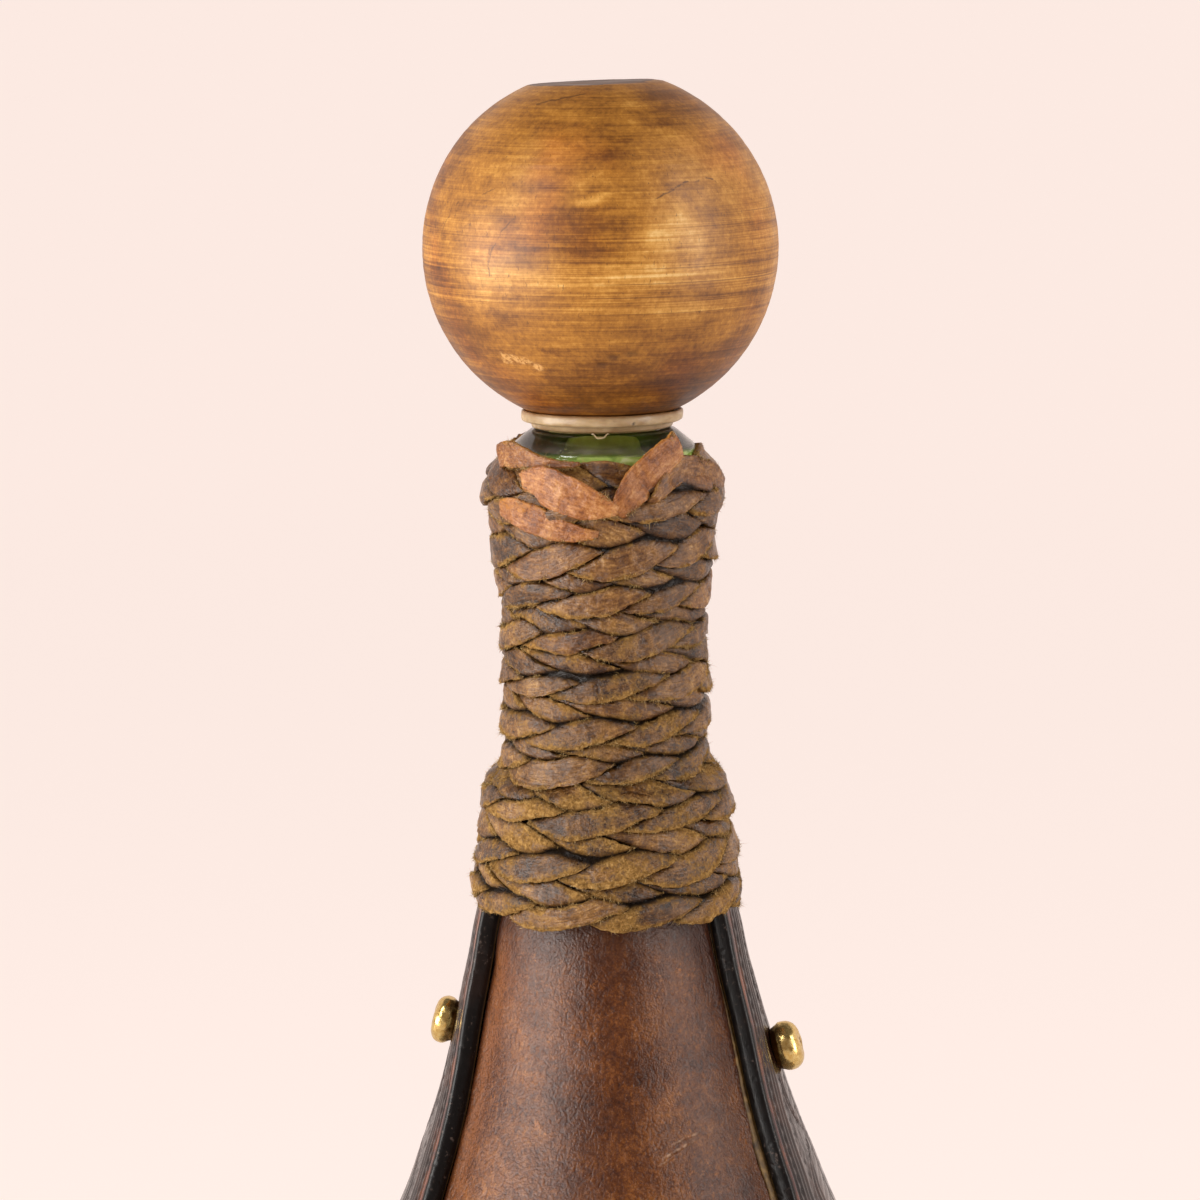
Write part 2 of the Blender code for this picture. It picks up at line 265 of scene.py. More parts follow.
def rounded(points, radius, steps=4):
    """A 2-D polyline with its inner corners rounded."""
    points = [np.array(p, float) for p in points]
    radii = radius if isinstance(radius, (list, tuple)) else [radius] * len(points)
    out = [points[0]]
    for i in range(1, len(points) - 1):
        a, b, c = points[i - 1], points[i], points[i + 1]
        la, lc = np.linalg.norm(a - b), np.linalg.norm(c - b)
        cut = min(radii[i], la * 0.48, lc * 0.48)
        if cut < 1e-4:
            out.append(b)
            continue
        p, q = b + (a - b) / la * cut, b + (c - b) / lc * cut
        for s in np.linspace(0, 1, steps + 1):
            out.append((1 - s) ** 2 * p + 2 * s * (1 - s) * b + s * s * q)
    out.append(points[-1])
    return np.array(out)


def dense(points, most):
    """A polyline with no step longer than most."""
    points = np.asarray(points, float)
    out = [points[0]]
    for a, b in zip(points[:-1], points[1:]):
        n = max(1, int(math.ceil(np.linalg.norm(b - a) / most)))
        for i in range(1, n + 1):
            out.append(a + (b - a) * i / n)
    return np.array(out)


# ----------------------------------------------------------------- materials
def srgb(r, g, b):
    """A colour given as 0-255 screen values, as linear numbers."""
    def one(c):
        c /= 255
        return c / 12.92 if c <= 0.04045 else ((c + 0.055) / 1.055) ** 2.4
    return (one(r), one(g), one(b), 1.0)


class Tree:
    """A short way to write a material's nodes."""

    def __init__(self, name):
        self.mat = bpy.data.materials.new(name)
        self.mat.use_nodes = True
        self.nt = self.mat.node_tree
        self.nt.nodes.clear()
        self.out = self.nt.nodes.new("ShaderNodeOutputMaterial")
        self.here = self.nt.nodes.new("ShaderNodeTexCoord").outputs["Object"]

    def add(self, kind, **settings):
        node = self.nt.nodes.new("ShaderNode" + kind)
        for key, value in settings.items():
            setattr(node, key, value)
        return node

    def put(self, socket, value):
        if isinstance(value, bpy.types.NodeSocket):
            self.nt.links.new(value, socket)
        else:
            socket.default_value = value

    def math(self, op, a, b=0.0, c=None, clamp=False):
        node = self.add("Math", operation=op, use_clamp=clamp)
        self.put(node.inputs[0], a)
        if b is not None:
            self.put(node.inputs[1], b)
        if c is not None:
            self.put(node.inputs[2], c)
        return node.outputs[0]

    def mix(self, fac, a, b, mode="MIX"):
        node = self.add("Mix", data_type="RGBA", blend_type=mode)
        self.put(node.inputs[0], fac)
        self.put(node.inputs[6], a)
        self.put(node.inputs[7], b)
        return node.outputs[2]

    def mix_value(self, fac, a, b):
        node = self.add("Mix", data_type="FLOAT")
        for i, value in zip((0, 2, 3), (fac, a, b)):
            self.put(node.inputs[i], value)
        return node.outputs[0]

    def scaled(self, x, y, z, start=(0, 0, 0), turn=(0, 0, 0), of=None):
        node = self.add("Mapping")
        self.put(node.inputs["Vector"], of or self.here)
        node.inputs["Location"].default_value = start
        node.inputs["Rotation"].default_value = turn
        node.inputs["Scale"].default_value = (x, y, z)
        return node.outputs[0]

    def noise(self, scale, detail=3, rough=0.55, distort=0.0, at=None, colour=False):
        node = self.add("TexNoise")
        self.put(node.inputs["Vector"], at or self.here)
        node.inputs["Scale"].default_value = scale
        node.inputs["Detail"].default_value = detail
        node.inputs["Roughness"].default_value = rough
        node.inputs["Distortion"].default_value = distort
        return node.outputs["Color" if colour else "Fac"]

    def cells(self, scale, at=None, feature="F1", out="Distance", random=1.0):
        node = self.add("TexVoronoi", feature=feature)
        self.put(node.inputs["Vector"], at or self.here)
        node.inputs["Scale"].default_value = scale
        node.inputs["Randomness"].default_value = random
        return node.outputs[out]

    def curve(self, value, low, high, a=0.0, b=1.0, how="SMOOTHSTEP"):
        node = self.add("MapRange", interpolation_type=how)
        self.put(node.inputs[0], value)
        for i, v in zip((1, 2, 3, 4), (low, high, a, b)):
            self.put(node.inputs[i], v)
        return node.outputs[0]

    def ramp(self, value, stops, how="LINEAR"):
        node = self.add("ValToRGB")
        self.put(node.inputs[0], value)
        ramp = node.color_ramp
        ramp.interpolation = how
        while len(ramp.elements) < len(stops):
            ramp.elements.new(0.5)
        for element, (place, colour) in zip(ramp.elements, stops):
            element.position = place
            element.color = colour
        return node.outputs[0]

    def attr(self, name):
        return self.add("Attribute", attribute_name=name).outputs["Fac"]

    def parts(self, of=None):
        node = self.add("SeparateXYZ")
        self.put(node.inputs[0], of or self.here)
        return node.outputs

    def vector(self, op, a, b=None):
        node = self.add("VectorMath", operation=op)
        self.put(node.inputs[0], a)
        if b is not None:
            self.put(node.inputs[1], b)
        return node.outputs["Value" if op in ("DOT_PRODUCT", "LENGTH", "DISTANCE") else "Vector"]

    def along_line(self, points, start, end):
        """Distance in mm from a line between two places (mm), and how far along it."""
        way = [(b - a) * MM for a, b in zip(start, end)]
        size = sum(v * v for v in way)
        here = self.vector("SUBTRACT", points, tuple(v * MM for v in start))
        part = self.math("DIVIDE", self.vector("DOT_PRODUCT", here, tuple(way)), size, clamp=True)
        scale = self.add("VectorMath", operation="SCALE")
        scale.inputs[0].default_value = way
        self.put(scale.inputs["Scale"], part)
        away = self.vector("DISTANCE", here, scale.outputs[0])
        return self.math("MULTIPLY", away, 1000.0), part

    def line(self, points, places, width, soft=0.5):
        """1 on a thin line through places in mm, 0 away from it."""
        best = None
        for start, end in zip(places[:-1], places[1:]):
            away, _ = self.along_line(points, start, end)
            best = away if best is None else self.math("MINIMUM", best, away)
        return self.curve(best, width * soft, width, 1.0, 0.0)

    def shaken(self, scale, size, detail=2):
        """Object coordinates moved about by noise, size in mm."""
        node = self.add("VectorMath", operation="SCALE")
        noise = self.vector("SUBTRACT", self.noise(scale, detail, 0.6, colour=True), (0.5, 0.5, 0.5))
        self.put(node.inputs[0], noise)
        node.inputs["Scale"].default_value = 2 * size * MM
        return self.vector("ADD", self.here, node.outputs[0])

    def bump(self, height, strength, distance, after=None):
        node = self.add("Bump")
        node.inputs["Strength"].default_value = strength
        node.inputs["Distance"].default_value = distance
        self.put(node.inputs["Height"], height)
        if after is not None:
            self.put(node.inputs["Normal"], after)
        return node.outputs[0]

    def surface(self, **inputs):
        node = self.add("BsdfPrincipled")
        for key, value in inputs.items():
            self.put(node.inputs[key.replace("_", " ")], value)
        self.nt.links.new(node.outputs[0], self.out.inputs["Surface"])
        return node


def wood_material():
    """Turned wood under a worn honey-brown stain: rings of tool marks, blotches, pores."""
    t = Tree("stained_wood_fine")
    fine = t.noise(1.0, 4, 0.62, at=t.scaled(22, 22, 2100))
    broad = t.noise(1.0, 4, 0.62, at=t.scaled(18, 18, 640, start=(3, 1, 7)))
    cloud = t.noise(1.0, 5, 0.62, 0.6, at=t.scaled(40, 40, 90, start=(0.4, 0.9, 5)))
    cloud2 = t.noise(1.0, 5, 0.66, 0.5, at=t.scaled(150, 150, 230, start=(4, 2, 1)))
    speck = t.noise(1.0, 4, 0.70, at=t.scaled(1250, 1250, 1050))
    pores = t.noise(1.0, 2, 0.7, at=t.scaled(2300, 2300, 620, start=(9, 9, 9)))
    streaky = t.attr("streaky")
    tone = t.math("MULTIPLY_ADD", t.math("SUBTRACT", cloud, 0.5), 0.70, 0.52)
    tone = t.math("ADD", tone, t.math("MULTIPLY", t.math("SUBTRACT", cloud2, 0.5), 0.50))
    lines = t.math("MULTIPLY", t.math("SUBTRACT", fine, 0.5), t.math("MULTIPLY_ADD", streaky, 0.52, 0.20))
    lines = t.math("ADD", lines, t.math("MULTIPLY", t.math("SUBTRACT", broad, 0.5), t.math("MULTIPLY_ADD", streaky, 0.30, 0.30)))
    tone = t.math("ADD", tone, lines)
    tone = t.math("ADD", tone, t.math("MULTIPLY", t.math("SUBTRACT", speck, 0.5), 0.46))
    tone = t.math("ADD", tone, t.math("MULTIPLY", t.math("SUBTRACT", t.noise(1.0, 2, 0.6, at=t.scaled(60, 60, 4200)), 0.5), 0.24))
    tone = t.math("ADD", tone, t.attr("tone"))
    colour = t.ramp(tone, [
        (0.05, srgb(74, 40, 12)), (0.28, srgb(124, 76, 24)), (0.48, srgb(170, 114, 40)),
        (0.66, srgb(204, 149, 68)), (0.85, srgb(230, 188, 116)), (1.0, srgb(242, 208, 146)),
    ])
    warm = t.noise(55, 3, 0.5)
    colour = t.mix(t.curve(warm, 0.50, 0.75, 0, 0.30), colour, srgb(186, 122, 40), "OVERLAY")
    pits = t.curve(pores, 0.64, 0.72, 0, 0.55)
    colour = t.mix(pits, colour, srgb(78, 44, 18))
    # long dark turning lines, stronger on one side
    x, _, z = t.parts()
    for height, width, low, high in ((313.9, 0.16, -2.0, 9.0), (311.7, 0.20, -8.0, 6.0), (316.4, 0.12, 6.0, 14.0), (324.9, 0.14, -30.0, -12.0), (308.9, 0.12, -12.0, 2.0)):
        near = t.math("ABSOLUTE", t.math("SUBTRACT", z, height * MM))
        ring = t.curve(near, 0.0, width * MM, 0.62, 0.0)
        ring = t.math("MULTIPLY", ring, t.curve(x, low * MM, high * MM))
        colour = t.mix(t.math("MULTIPLY", ring, t.curve(broad, 0.3, 0.55)), colour, srgb(92, 50, 20))
    # a few thin dark lines where the stain dried
    shaken = t.shaken(260, 1.0, 5)
    for places, width, dark in (
        (((11.0, -26.2, 327.3), (13.7, -24.2, 329.0), (15.6, -22.6, 329.9), (20.0, -18.3, 330.7)), 0.26, 0.75),
        (((-16.4, -25.0, 315.2), (-16.6, -25.0, 317.4), (-15.8, -25.4, 319.4), (-14.1, -26.0, 322.7), (-11.9, -26.6, 324.9)), 0.24, 0.60),
        (((-25.1, -16.1, 321.2), (-24.3, -16.7, 323.4), (-23.2, -17.5, 325.3), (-21.7, -18.6, 326.9)), 0.24, 0.55),
        (((-9.2, -14.2, 342.5), (-6.1, -14.5, 343.3), (-1.2, -14.1, 344.3)), 0.34, 0.7),
        (((-18.1, -21.7, 327.9), (-14.6, -23.5, 329.4), (-12.0, -24.5, 330.3)), 0.24, 0.5),
        (((24.0, 17.0, 322.0), (20.0, 21.0, 325.5), (14.0, 24.0, 328.0)), 0.25, 0.6),
    ):
        colour = t.mix(t.math("MULTIPLY", t.line(shaken, places, width, 0.2), dark), colour, srgb(70, 38, 16))
    # a chip that shows paler wood
    wild = t.shaken(420, 1.5, 4)
    chip = t.math("MAXIMUM", t.line(wild, ((-14.6, -20.3, 301.2), (-11.2, -22.2, 300.9)), 1.0, 0.4), t.line(wild, ((-11.0, -22.0, 300.7), (-8.7, -22.2, 299.6)), 0.9, 0.4))
    chip = t.math("MAXIMUM", chip, t.line(wild, ((17.0, 18.0, 300.6), (14.2, 20.6, 300.2)), 0.6, 0.7))
    chip = t.math("MULTIPLY", chip, t.curve(t.noise(1500, 3, 0.65), 0.36, 0.56))
    colour = t.mix(t.math("MULTIPLY", chip, 0.80), colour, srgb(216, 164, 96))
    colour = t.mix(t.attr("mark"), colour, srgb(62, 34, 16))
    rough = t.curve(t.noise(130, 3, 0.6), 0.3, 0.7, 0.38, 0.54, "LINEAR")
    height = t.math("ADD", t.math("MULTIPLY", fine, 0.6), t.math("MULTIPLY", speck, 0.55))
    height = t.math("SUBTRACT", height, t.math("MULTIPLY", pits, 0.6))
    height = t.math("SUBTRACT", height, t.math("MULTIPLY", chip, 0.8))
    t.surface(
        Base_Color=colour, Roughness=rough, Normal=t.bump(height, 0.24, 0.00012),
        Coat_Weight=0.10, Coat_Roughness=0.40, Specular_IOR_Level=0.42,
    )
    return t.mat


def bare_wood_material():
    t = Tree("bare_wood_fine")
    grain = t.noise(1.0, 4, 0.6, at=t.scaled(900, 900, 60))
    colour = t.ramp(grain, [(0.3, srgb(178, 136, 88)), (0.7, srgb(216, 180, 130))])
    t.surface(Base_Color=colour, Roughness=0.7, Normal=t.bump(grain, 0.3, 0.0001))
    return t.mat


def plastic_material():
    """Aged cream plastic with dirt in patches, darker under the flange, a painted reflection of the ball on the flange
    top, and small flecks.
    """
    t = Tree("cream_plastic_fine")
    soft = t.noise(190, 4, 0.6)
    colour = t.ramp(soft, [(0.25, srgb(150, 124, 88)), (0.5, srgb(178, 152, 114)), (0.8, srgb(200, 178, 142))])
    dirt = t.curve(t.noise(1.0, 4, 0.65, at=t.scaled(300, 300, 700)), 0.46, 0.70)
    colour = t.mix(t.math("MULTIPLY", dirt, 0.55), colour, srgb(140, 108, 70))
    fleck = t.curve(t.cells(1500), 0.0, 0.2, 1.0, 0.0)
    few = t.curve(t.noise(900, 1, 0.5), 0.62, 0.7)
    colour = t.mix(t.math("MULTIPLY", fleck, few), colour, srgb(74, 52, 34))
    # darker below the flange, and a painted reflection of the ball's orange-brown on the flange top
    colour = t.mix(t.attr("grime_and_painted_light"), colour, srgb(124, 84, 44))
    colour = t.mix(t.attr("crack"), colour, srgb(40, 28, 20))
    t.surface(
        Base_Color=colour, Roughness=t.curve(soft, 0.3, 0.7, 0.3, 0.48, "LINEAR"),
        Subsurface_Weight=0.35, Subsurface_Radius=(0.0022, 0.0016, 0.0009),
        Subsurface_Scale=1.0, Normal=t.bump(t.noise(1300, 3, 0.6), 0.12, 0.00008),
        Coat_Weight=0.15, Coat_Roughness=0.25,
    )
    return t.mat


def glass_material():
    """Green bottle glass, tinted by its depth. Lamps shine through it, dimmed."""
    t = Tree("green_glass_fine")
    nt = t.nt
    wave = t.noise(60, 2, 0.5, at=t.scaled(1, 1, 0.6))
    body = t.add("BsdfPrincipled")
    body.inputs["Base Color"].default_value = (0.93, 1.0, 0.9, 1)
    body.inputs["Roughness"].default_value = 0.02
    body.inputs["IOR"].default_value = 1.52
    body.inputs["Transmission Weight"].default_value = 1.0
    body.inputs["Specular IOR Level"].default_value = 0.30
    t.put(body.inputs["Normal"], t.bump(wave, 0.12, 0.0006))
    clear = t.add("BsdfTransparent")
    clear.inputs["Color"].default_value = (0.94, 0.97, 0.92, 1)
    ray = t.add("LightPath")
    both = t.add("MixShader")
    # painted light on the outside of the mouth: a green film below stands for light seen through the glass, with a
    # grey ring at its edge and painted reflections of the backdrop in grey on its two sides
    painted_light_film = t.add("BsdfPrincipled")
    light_film_noise = t.noise(1.0, 4, 0.6, 0.4, at=t.scaled(260, 260, 520))
    t.put(painted_light_film.inputs["Base Color"], t.mix(t.attr("rim_grey_and_painted_reflection"), t.ramp(light_film_noise, [
        (0.3, srgb(120, 164, 56)), (0.52, srgb(186, 212, 112)), (0.70, srgb(242, 246, 206)),
    ]), srgb(176, 172, 160)))
    painted_light_film.inputs["Roughness"].default_value = 0.12
    painted_light_film.inputs["Specular IOR Level"].default_value = 0.6
    cover = t.math("MULTIPLY", t.attr("painted_light_film"), t.curve(light_film_noise, 0.30, 0.62, 0.70, 1.0), clamp=True)
    painted_light_mix = t.add("MixShader")
    nt.links.new(cover, painted_light_mix.inputs[0])
    nt.links.new(body.outputs[0], painted_light_mix.inputs[1])
    nt.links.new(painted_light_film.outputs[0], painted_light_mix.inputs[2])
    nt.links.new(ray.outputs["Is Shadow Ray"], both.inputs[0])
    nt.links.new(painted_light_mix.outputs[0], both.inputs[1])
    nt.links.new(clear.outputs[0], both.inputs[2])
    nt.links.new(both.outputs[0], t.out.inputs["Surface"])
    tint = t.add("VolumeAbsorption")
    tint.inputs["Color"].default_value = (0.47, 0.60, 0.06, 1)
    tint.inputs["Density"].default_value = 235.0
    nt.links.new(tint.outputs[0], t.out.inputs["Volume"])
    return t.mat


def brown_leather_material():
    """Smooth reddish brown leather, mottled, with a fine wrinkled grain."""
    t = Tree("brown_leather_fine")
    big = t.noise(30, 4, 0.6, 0.4)
    mid = t.noise(140, 5, 0.66, 0.4)
    fine = t.noise(1.0, 4, 0.68, 0.3, at=t.scaled(1250, 1250, 820))
    tone = t.math("ADD", t.math("MULTIPLY", big, 0.50), t.math("MULTIPLY", mid, 0.50))
    tone = t.math("MULTIPLY_ADD", t.math("SUBTRACT", tone, 0.5), 1.05, 0.51)
    tone = t.math("ADD", tone, t.math("MULTIPLY", t.math("SUBTRACT", fine, 0.5), 0.50))
    finest = t.noise(2900, 3, 0.7)
    tone = t.math("ADD", tone, t.math("MULTIPLY", t.math("SUBTRACT", finest, 0.5), 0.34))
    colour = t.ramp(tone, [
        (0.22, srgb(30, 12, 4)), (0.38, srgb(58, 27, 9)), (0.52, srgb(90, 48, 18)),
        (0.66, srgb(126, 75, 32)), (0.84, srgb(172, 114, 58)),
    ])
    colour = t.mix(t.attr("orange"), colour, srgb(140, 86, 48))
    # painted shade: darker beside the straps, below the braid and towards one side, over random patches
    colour = t.mix(t.attr("mottle_and_painted_shade"), colour, srgb(50, 24, 15))
    # small orange flecks in patches, and a little grey where the finish is rubbed
    spots = t.curve(t.noise(1000, 3, 0.7), 0.56, 0.68)
    rare = t.curve(t.noise(90, 3, 0.6, at=t.scaled(1, 1, 1, start=(0.2, 0, 0.1))), 0.52, 0.68)
    colour = t.mix(t.math("MULTIPLY", t.math("MULTIPLY", spots, rare), 0.50), colour, srgb(176, 108, 44))
    dust = t.curve(t.noise(1.0, 6, 0.75, 0.5, at=t.scaled(330, 330, 240)), 0.56, 0.76, 0, 0.22)
    colour = t.mix(dust, colour, srgb(134, 100, 84))
    # wrinkled grain: ridged noise, drawn out a little downward
    fold = t.noise(1.0, 4, 0.62, 0.9, at=t.scaled(980, 980, 700, start=(1, 2, 3)))
    fold = t.math("ABSOLUTE", t.math("MULTIPLY_ADD", fold, 2.0, -1.0))
    groove = t.curve(fold, 0.0, 0.10, 1.0, 0.0)
    pebble = t.cells(2100, at=t.shaken(1500, 0.18))
    pit = t.curve(pebble, 0.45, 0.75)
    colour = t.mix(t.math("MULTIPLY", groove, 0.22), colour, srgb(36, 16, 9))
    colour = t.mix(t.math("MULTIPLY", pit, 0.35), colour, srgb(40, 18, 10))
    shaken = t.shaken(260, 0.25)
    scratch = None
    for start, end, width in (
        ((10.7, -20.5, 166.9), (16.6, -18.5, 169.6), 0.26), ((12.1, -20.5, 168.9), (17.1, -18.0, 170.7), 0.20),
        ((10.0, -20.4, 166.0), (12.6, -19.4, 166.9), 0.16),
    ):
        dx, dz = end[0] - start[0], end[2] - start[2]
        size = math.hypot(dx, dz)
        x, y, z = t.parts(shaken)
        # only the place seen from the front matters, so depth is left out
        px = t.math("MULTIPLY_ADD", x, 1000.0, -start[0])
        pz = t.math("MULTIPLY_ADD", z, 1000.0, -start[2])
        part = t.math("ADD", t.math("MULTIPLY", px, dx / size), t.math("MULTIPLY", pz, dz / size))
        off = t.math("ABSOLUTE", t.math("SUBTRACT", t.math("MULTIPLY", px, dz / size), t.math("MULTIPLY", pz, dx / size)))
        one = t.curve(off, 0.2 * width, width * 1.6, 1.0, 0.0)
        one = t.math("MULTIPLY", one, t.math("MULTIPLY", t.curve(part, 0.0, 1.2), t.curve(part, size - 1.5, size, 1.0, 0.0)))
        one = t.math("MULTIPLY", one, t.curve(y, -0.004, -0.003, 1.0, 0.0))
        scratch = one if scratch is None else t.math("MAXIMUM", scratch, one)
    worn = t.math("MULTIPLY", scratch, t.curve(t.noise(700, 3, 0.6), 0.36, 0.62))
    colour = t.mix(t.math("MULTIPLY", worn, 0.60), colour, srgb(190, 156, 126))
    crease = t.noise(1.0, 4, 0.6, 1.2, at=t.scaled(260, 260, 150))
    height = t.math("MULTIPLY_ADD", fold, 0.65, t.math("MULTIPLY", fine, 0.9))
    height = t.math("ADD", height, t.math("MULTIPLY", finest, 0.60))
    height = t.math("ADD", height, t.math("MULTIPLY", crease, 1.1))
    height = t.math("SUBTRACT", height, t.math("MULTIPLY", pebble, 0.45))
    height = t.math("SUBTRACT", height, t.math("MULTIPLY", scratch, 0.8))
    rough = t.curve(t.noise(340, 4, 0.65), 0.3, 0.72, 0.15, 0.30, "LINEAR")
    t.surface(
        Base_Color=colour, Roughness=rough, Normal=t.bump(height, 0.62, 0.00020),
        Specular_IOR_Level=0.36,
    )
    return t.mat


def tooled_leather_material():
    """Near-black waxed leather with tooling, dark red where it is worn."""
    t = Tree("tooled_leather_fine")
    big = t.noise(48, 4, 0.6)
    mid = t.noise(230, 4, 0.6)
    fine = t.noise(900, 3, 0.6)
    tone = t.math("ADD", t.math("MULTIPLY", big, 0.5), t.math("MULTIPLY", mid, 0.5))
    face = t.ramp(tone, [(0.36, srgb(16, 9, 8)), (0.52, srgb(31, 16, 13)), (0.68, srgb(58, 27, 21))])
    worn = t.math("MULTIPLY", t.attr("worn"), t.curve(t.noise(170, 4, 0.65), 0.42, 0.66))
    face = t.mix(worn, face, srgb(138, 76, 38))
    face = t.mix(t.math("MULTIPLY", t.attr("groove"), 0.75), face, srgb(16, 9, 9))
    face = t.mix(t.attr("red"), face, srgb(92, 26, 22))
    grit = t.curve(t.noise(1300, 3, 0.65), 0.58, 0.70, 0, 0.62)
    grit = t.math("MULTIPLY", grit, t.curve(t.noise(210, 3, 0.6), 0.40, 0.62))
    edge = t.mix(t.curve(t.noise(120, 3, 0.6), 0.45, 0.75), srgb(8, 6, 6), srgb(30, 18, 13))
    edge = t.mix(grit, edge, srgb(120, 104, 96))
    colour = t.mix(t.attr("paint"), face, edge)
    colour = t.mix(t.attr("raw"), colour, srgb(112, 88, 46))
    pale = t.math("MULTIPLY", t.curve(t.noise(1.0, 4, 0.7, at=t.scaled(500, 500, 300)), 0.6, 0.76, 0, 0.30), t.curve(t.attr("paint"), 0, 1, 1.0, 0.25))
    colour = t.mix(pale, colour, srgb(98, 82, 76))
    cell = t.cells(1500, feature="DISTANCE_TO_EDGE")
    line = t.curve(cell, 0.0, 0.12, 1.0, 0.0)
    height = t.math("MULTIPLY_ADD", line, -0.08, t.math("MULTIPLY", fine, 0.6))
    height = t.math("ADD", height, t.math("MULTIPLY", mid, 0.8))
    pitted = t.cells(520, at=t.shaken(500, 0.6))
    height = t.math("SUBTRACT", height, t.math("MULTIPLY", t.curve(pitted, 0.0, 0.35, 1.0, 0.0), t.math("MULTIPLY", t.attr("paint"), 0.9)))
    rough = t.curve(t.noise(420, 4, 0.65), 0.3, 0.72, 0.16, 0.34, "LINEAR")
    rough = t.math("ADD", rough, t.math("MULTIPLY", t.attr("paint"), 0.14))
    t.surface(
        Base_Color=colour, Roughness=rough, Normal=t.bump(height, 0.34, 0.00022),
        Specular_IOR_Level=0.28, Coat_Weight=t.curve(t.attr("paint"), 0.0, 1.0, 0.60, 0.05), Coat_Roughness=0.11,
    )
    return t.mat


def base_leather_material():
    t = Tree("base_leather_fine")
    big = t.noise(60, 5, 0.65)
    fine = t.noise(1400, 3, 0.6)
    colour = t.ramp(t.math("ADD", t.math("MULTIPLY", big, 0.8), t.math("MULTIPLY", fine, 0.2)), [
        (0.34, srgb(58, 34, 22)), (0.52, srgb(96, 60, 38)), (0.7, srgb(132, 90, 58)),
    ])
    scuff = t.curve(t.noise(1.0, 4, 0.7, at=t.scaled(340, 60, 200)), 0.56, 0.7, 0, 0.5)
    colour = t.mix(scuff, colour, srgb(156, 122, 88))
    colour = t.mix(t.attr("paint"), colour, srgb(24, 16, 14))
    t.surface(
        Base_Color=colour, Roughness=t.curve(big, 0.3, 0.7, 0.55, 0.78, "LINEAR"),
        Normal=t.bump(t.math("ADD", fine, t.math("MULTIPLY", big, 2.0)), 0.5, 0.00025),
    )
    return t.mat


def lace_material():
    """Leather lace: satin brown grain side, ochre suede where it is cut or rubbed."""
    t = Tree("lace_leather_fine")
    edge, gap, along, across = t.attr("edge"), t.attr("gap"), t.attr("along"), t.attr("across")
    warm, each, suede = t.attr("warm"), t.attr("each"), t.attr("suede")
    big = t.noise(230, 4, 0.6, 0.3)
    mid = t.noise(560, 5, 0.70, 0.3)
    fine = t.noise(1900, 3, 0.7)
    grit = t.noise(3300, 2, 0.6)
    # fine creases that run with the lace
    place = t.add("CombineXYZ")
    t.put(place.inputs[0], t.math("MULTIPLY", along, 0.42))
    t.put(place.inputs[1], t.math("MULTIPLY", across, 2.6))
    t.put(place.inputs[2], t.math("MULTIPLY", each, 37.0))
    crease = t.noise(1.0, 4, 0.62, 0.35, at=place.outputs[0])
    tone = t.math("ADD", t.math("MULTIPLY", big, 0.55), t.math("MULTIPLY", mid, 0.45))
    tone = t.math("MULTIPLY_ADD", t.math("SUBTRACT", tone, 0.5), 1.45, 0.49)
    tone = t.math("ADD", tone, t.math("MULTIPLY", t.math("SUBTRACT", each, 0.5), 0.20))
    tone = t.math("ADD", tone, t.math("MULTIPLY", t.math("SUBTRACT", fine, 0.5), 0.44))
    tone = t.math("ADD", tone, t.math("MULTIPLY", t.math("SUBTRACT", grit, 0.5), 0.40))
    tone = t.math("ADD", tone, t.math("MULTIPLY", t.math("SUBTRACT", crease, 0.5), 0.62))
    cool = t.ramp(tone, [
        (0.14, srgb(30, 16, 6)), (0.32, srgb(60, 36, 13)), (0.50, srgb(98, 64, 28)), (0.68, srgb(138, 98, 49)),
        (0.86, srgb(182, 142, 84)),
    ])
    hot = t.ramp(tone, [
        (0.14, srgb(76, 36, 13)), (0.36, srgb(132, 76, 34)), (0.56, srgb(172, 112, 60)), (0.80, srgb(206, 154, 98)),
    ])
    colour = t.mix(warm, cool, hot)
    nap = t.noise(1500, 5, 0.75, 0.6)
    ochre = t.ramp(nap, [
        (0.30, srgb(68, 46, 22)), (0.42, srgb(116, 85, 44)), (0.55, srgb(162, 125, 70)), (0.70, srgb(208, 170, 108)),
    ])
    rub = t.math("ADD", suede, t.math("MULTIPLY", t.math("SUBTRACT", mid, 0.5), 0.60))
    rub = t.math("ADD", rub, t.math("MULTIPLY", t.math("SUBTRACT", fine, 0.5), 0.80))
    rub = t.math("ADD", rub, t.math("MULTIPLY", t.math("SUBTRACT", grit, 0.5), 0.40))
    fluff = t.curve(rub, 0.30, 0.84)
    fluff = t.math("MAXIMUM", fluff, t.curve(edge, 1.02, 1.08))
    ochre = t.mix(t.math("MULTIPLY", warm, 0.7), ochre, srgb(196, 128, 48), "MIX")
    colour = t.mix(t.math("MULTIPLY", fluff, 0.88), colour, ochre)
    # painted shade in the recess under each crossing lace, black at the line where they meet
    near = t.math("ADD", gap, t.math("MULTIPLY", t.math("SUBTRACT", mid, 0.5), 0.8))
    colour = t.mix(t.curve(near, -0.2, 1.5, 0.55, 0.0), colour, srgb(38, 21, 9))
    colour = t.mix(t.curve(near, -0.10, 0.44, 0.95, 0.0), colour, srgb(13, 8, 5))
    height = t.math("MULTIPLY", crease, t.curve(fluff, 0, 1, 2.3, 0.4))
    height = t.math("ADD", height, t.math("MULTIPLY", mid, 2.6))
    height = t.math("ADD", height, t.math("MULTIPLY", fine, 0.9))
    height = t.math("ADD", height, t.math("MULTIPLY", t.math("MULTIPLY", nap, fluff), 2.4))
    rough = t.math("ADD", t.curve(t.noise(600, 3, 0.6), 0.3, 0.7, 0.14, 0.28, "LINEAR"), t.math("MULTIPLY", fluff, 0.50))
    shine = t.curve(fluff, 0.0, 1.0, 0.50, 0.05)
    t.surface(
        Base_Color=colour, Roughness=rough, Normal=t.bump(height, 0.55, 0.00020),
        Specular_IOR_Level=shine,
    )
    return t.mat


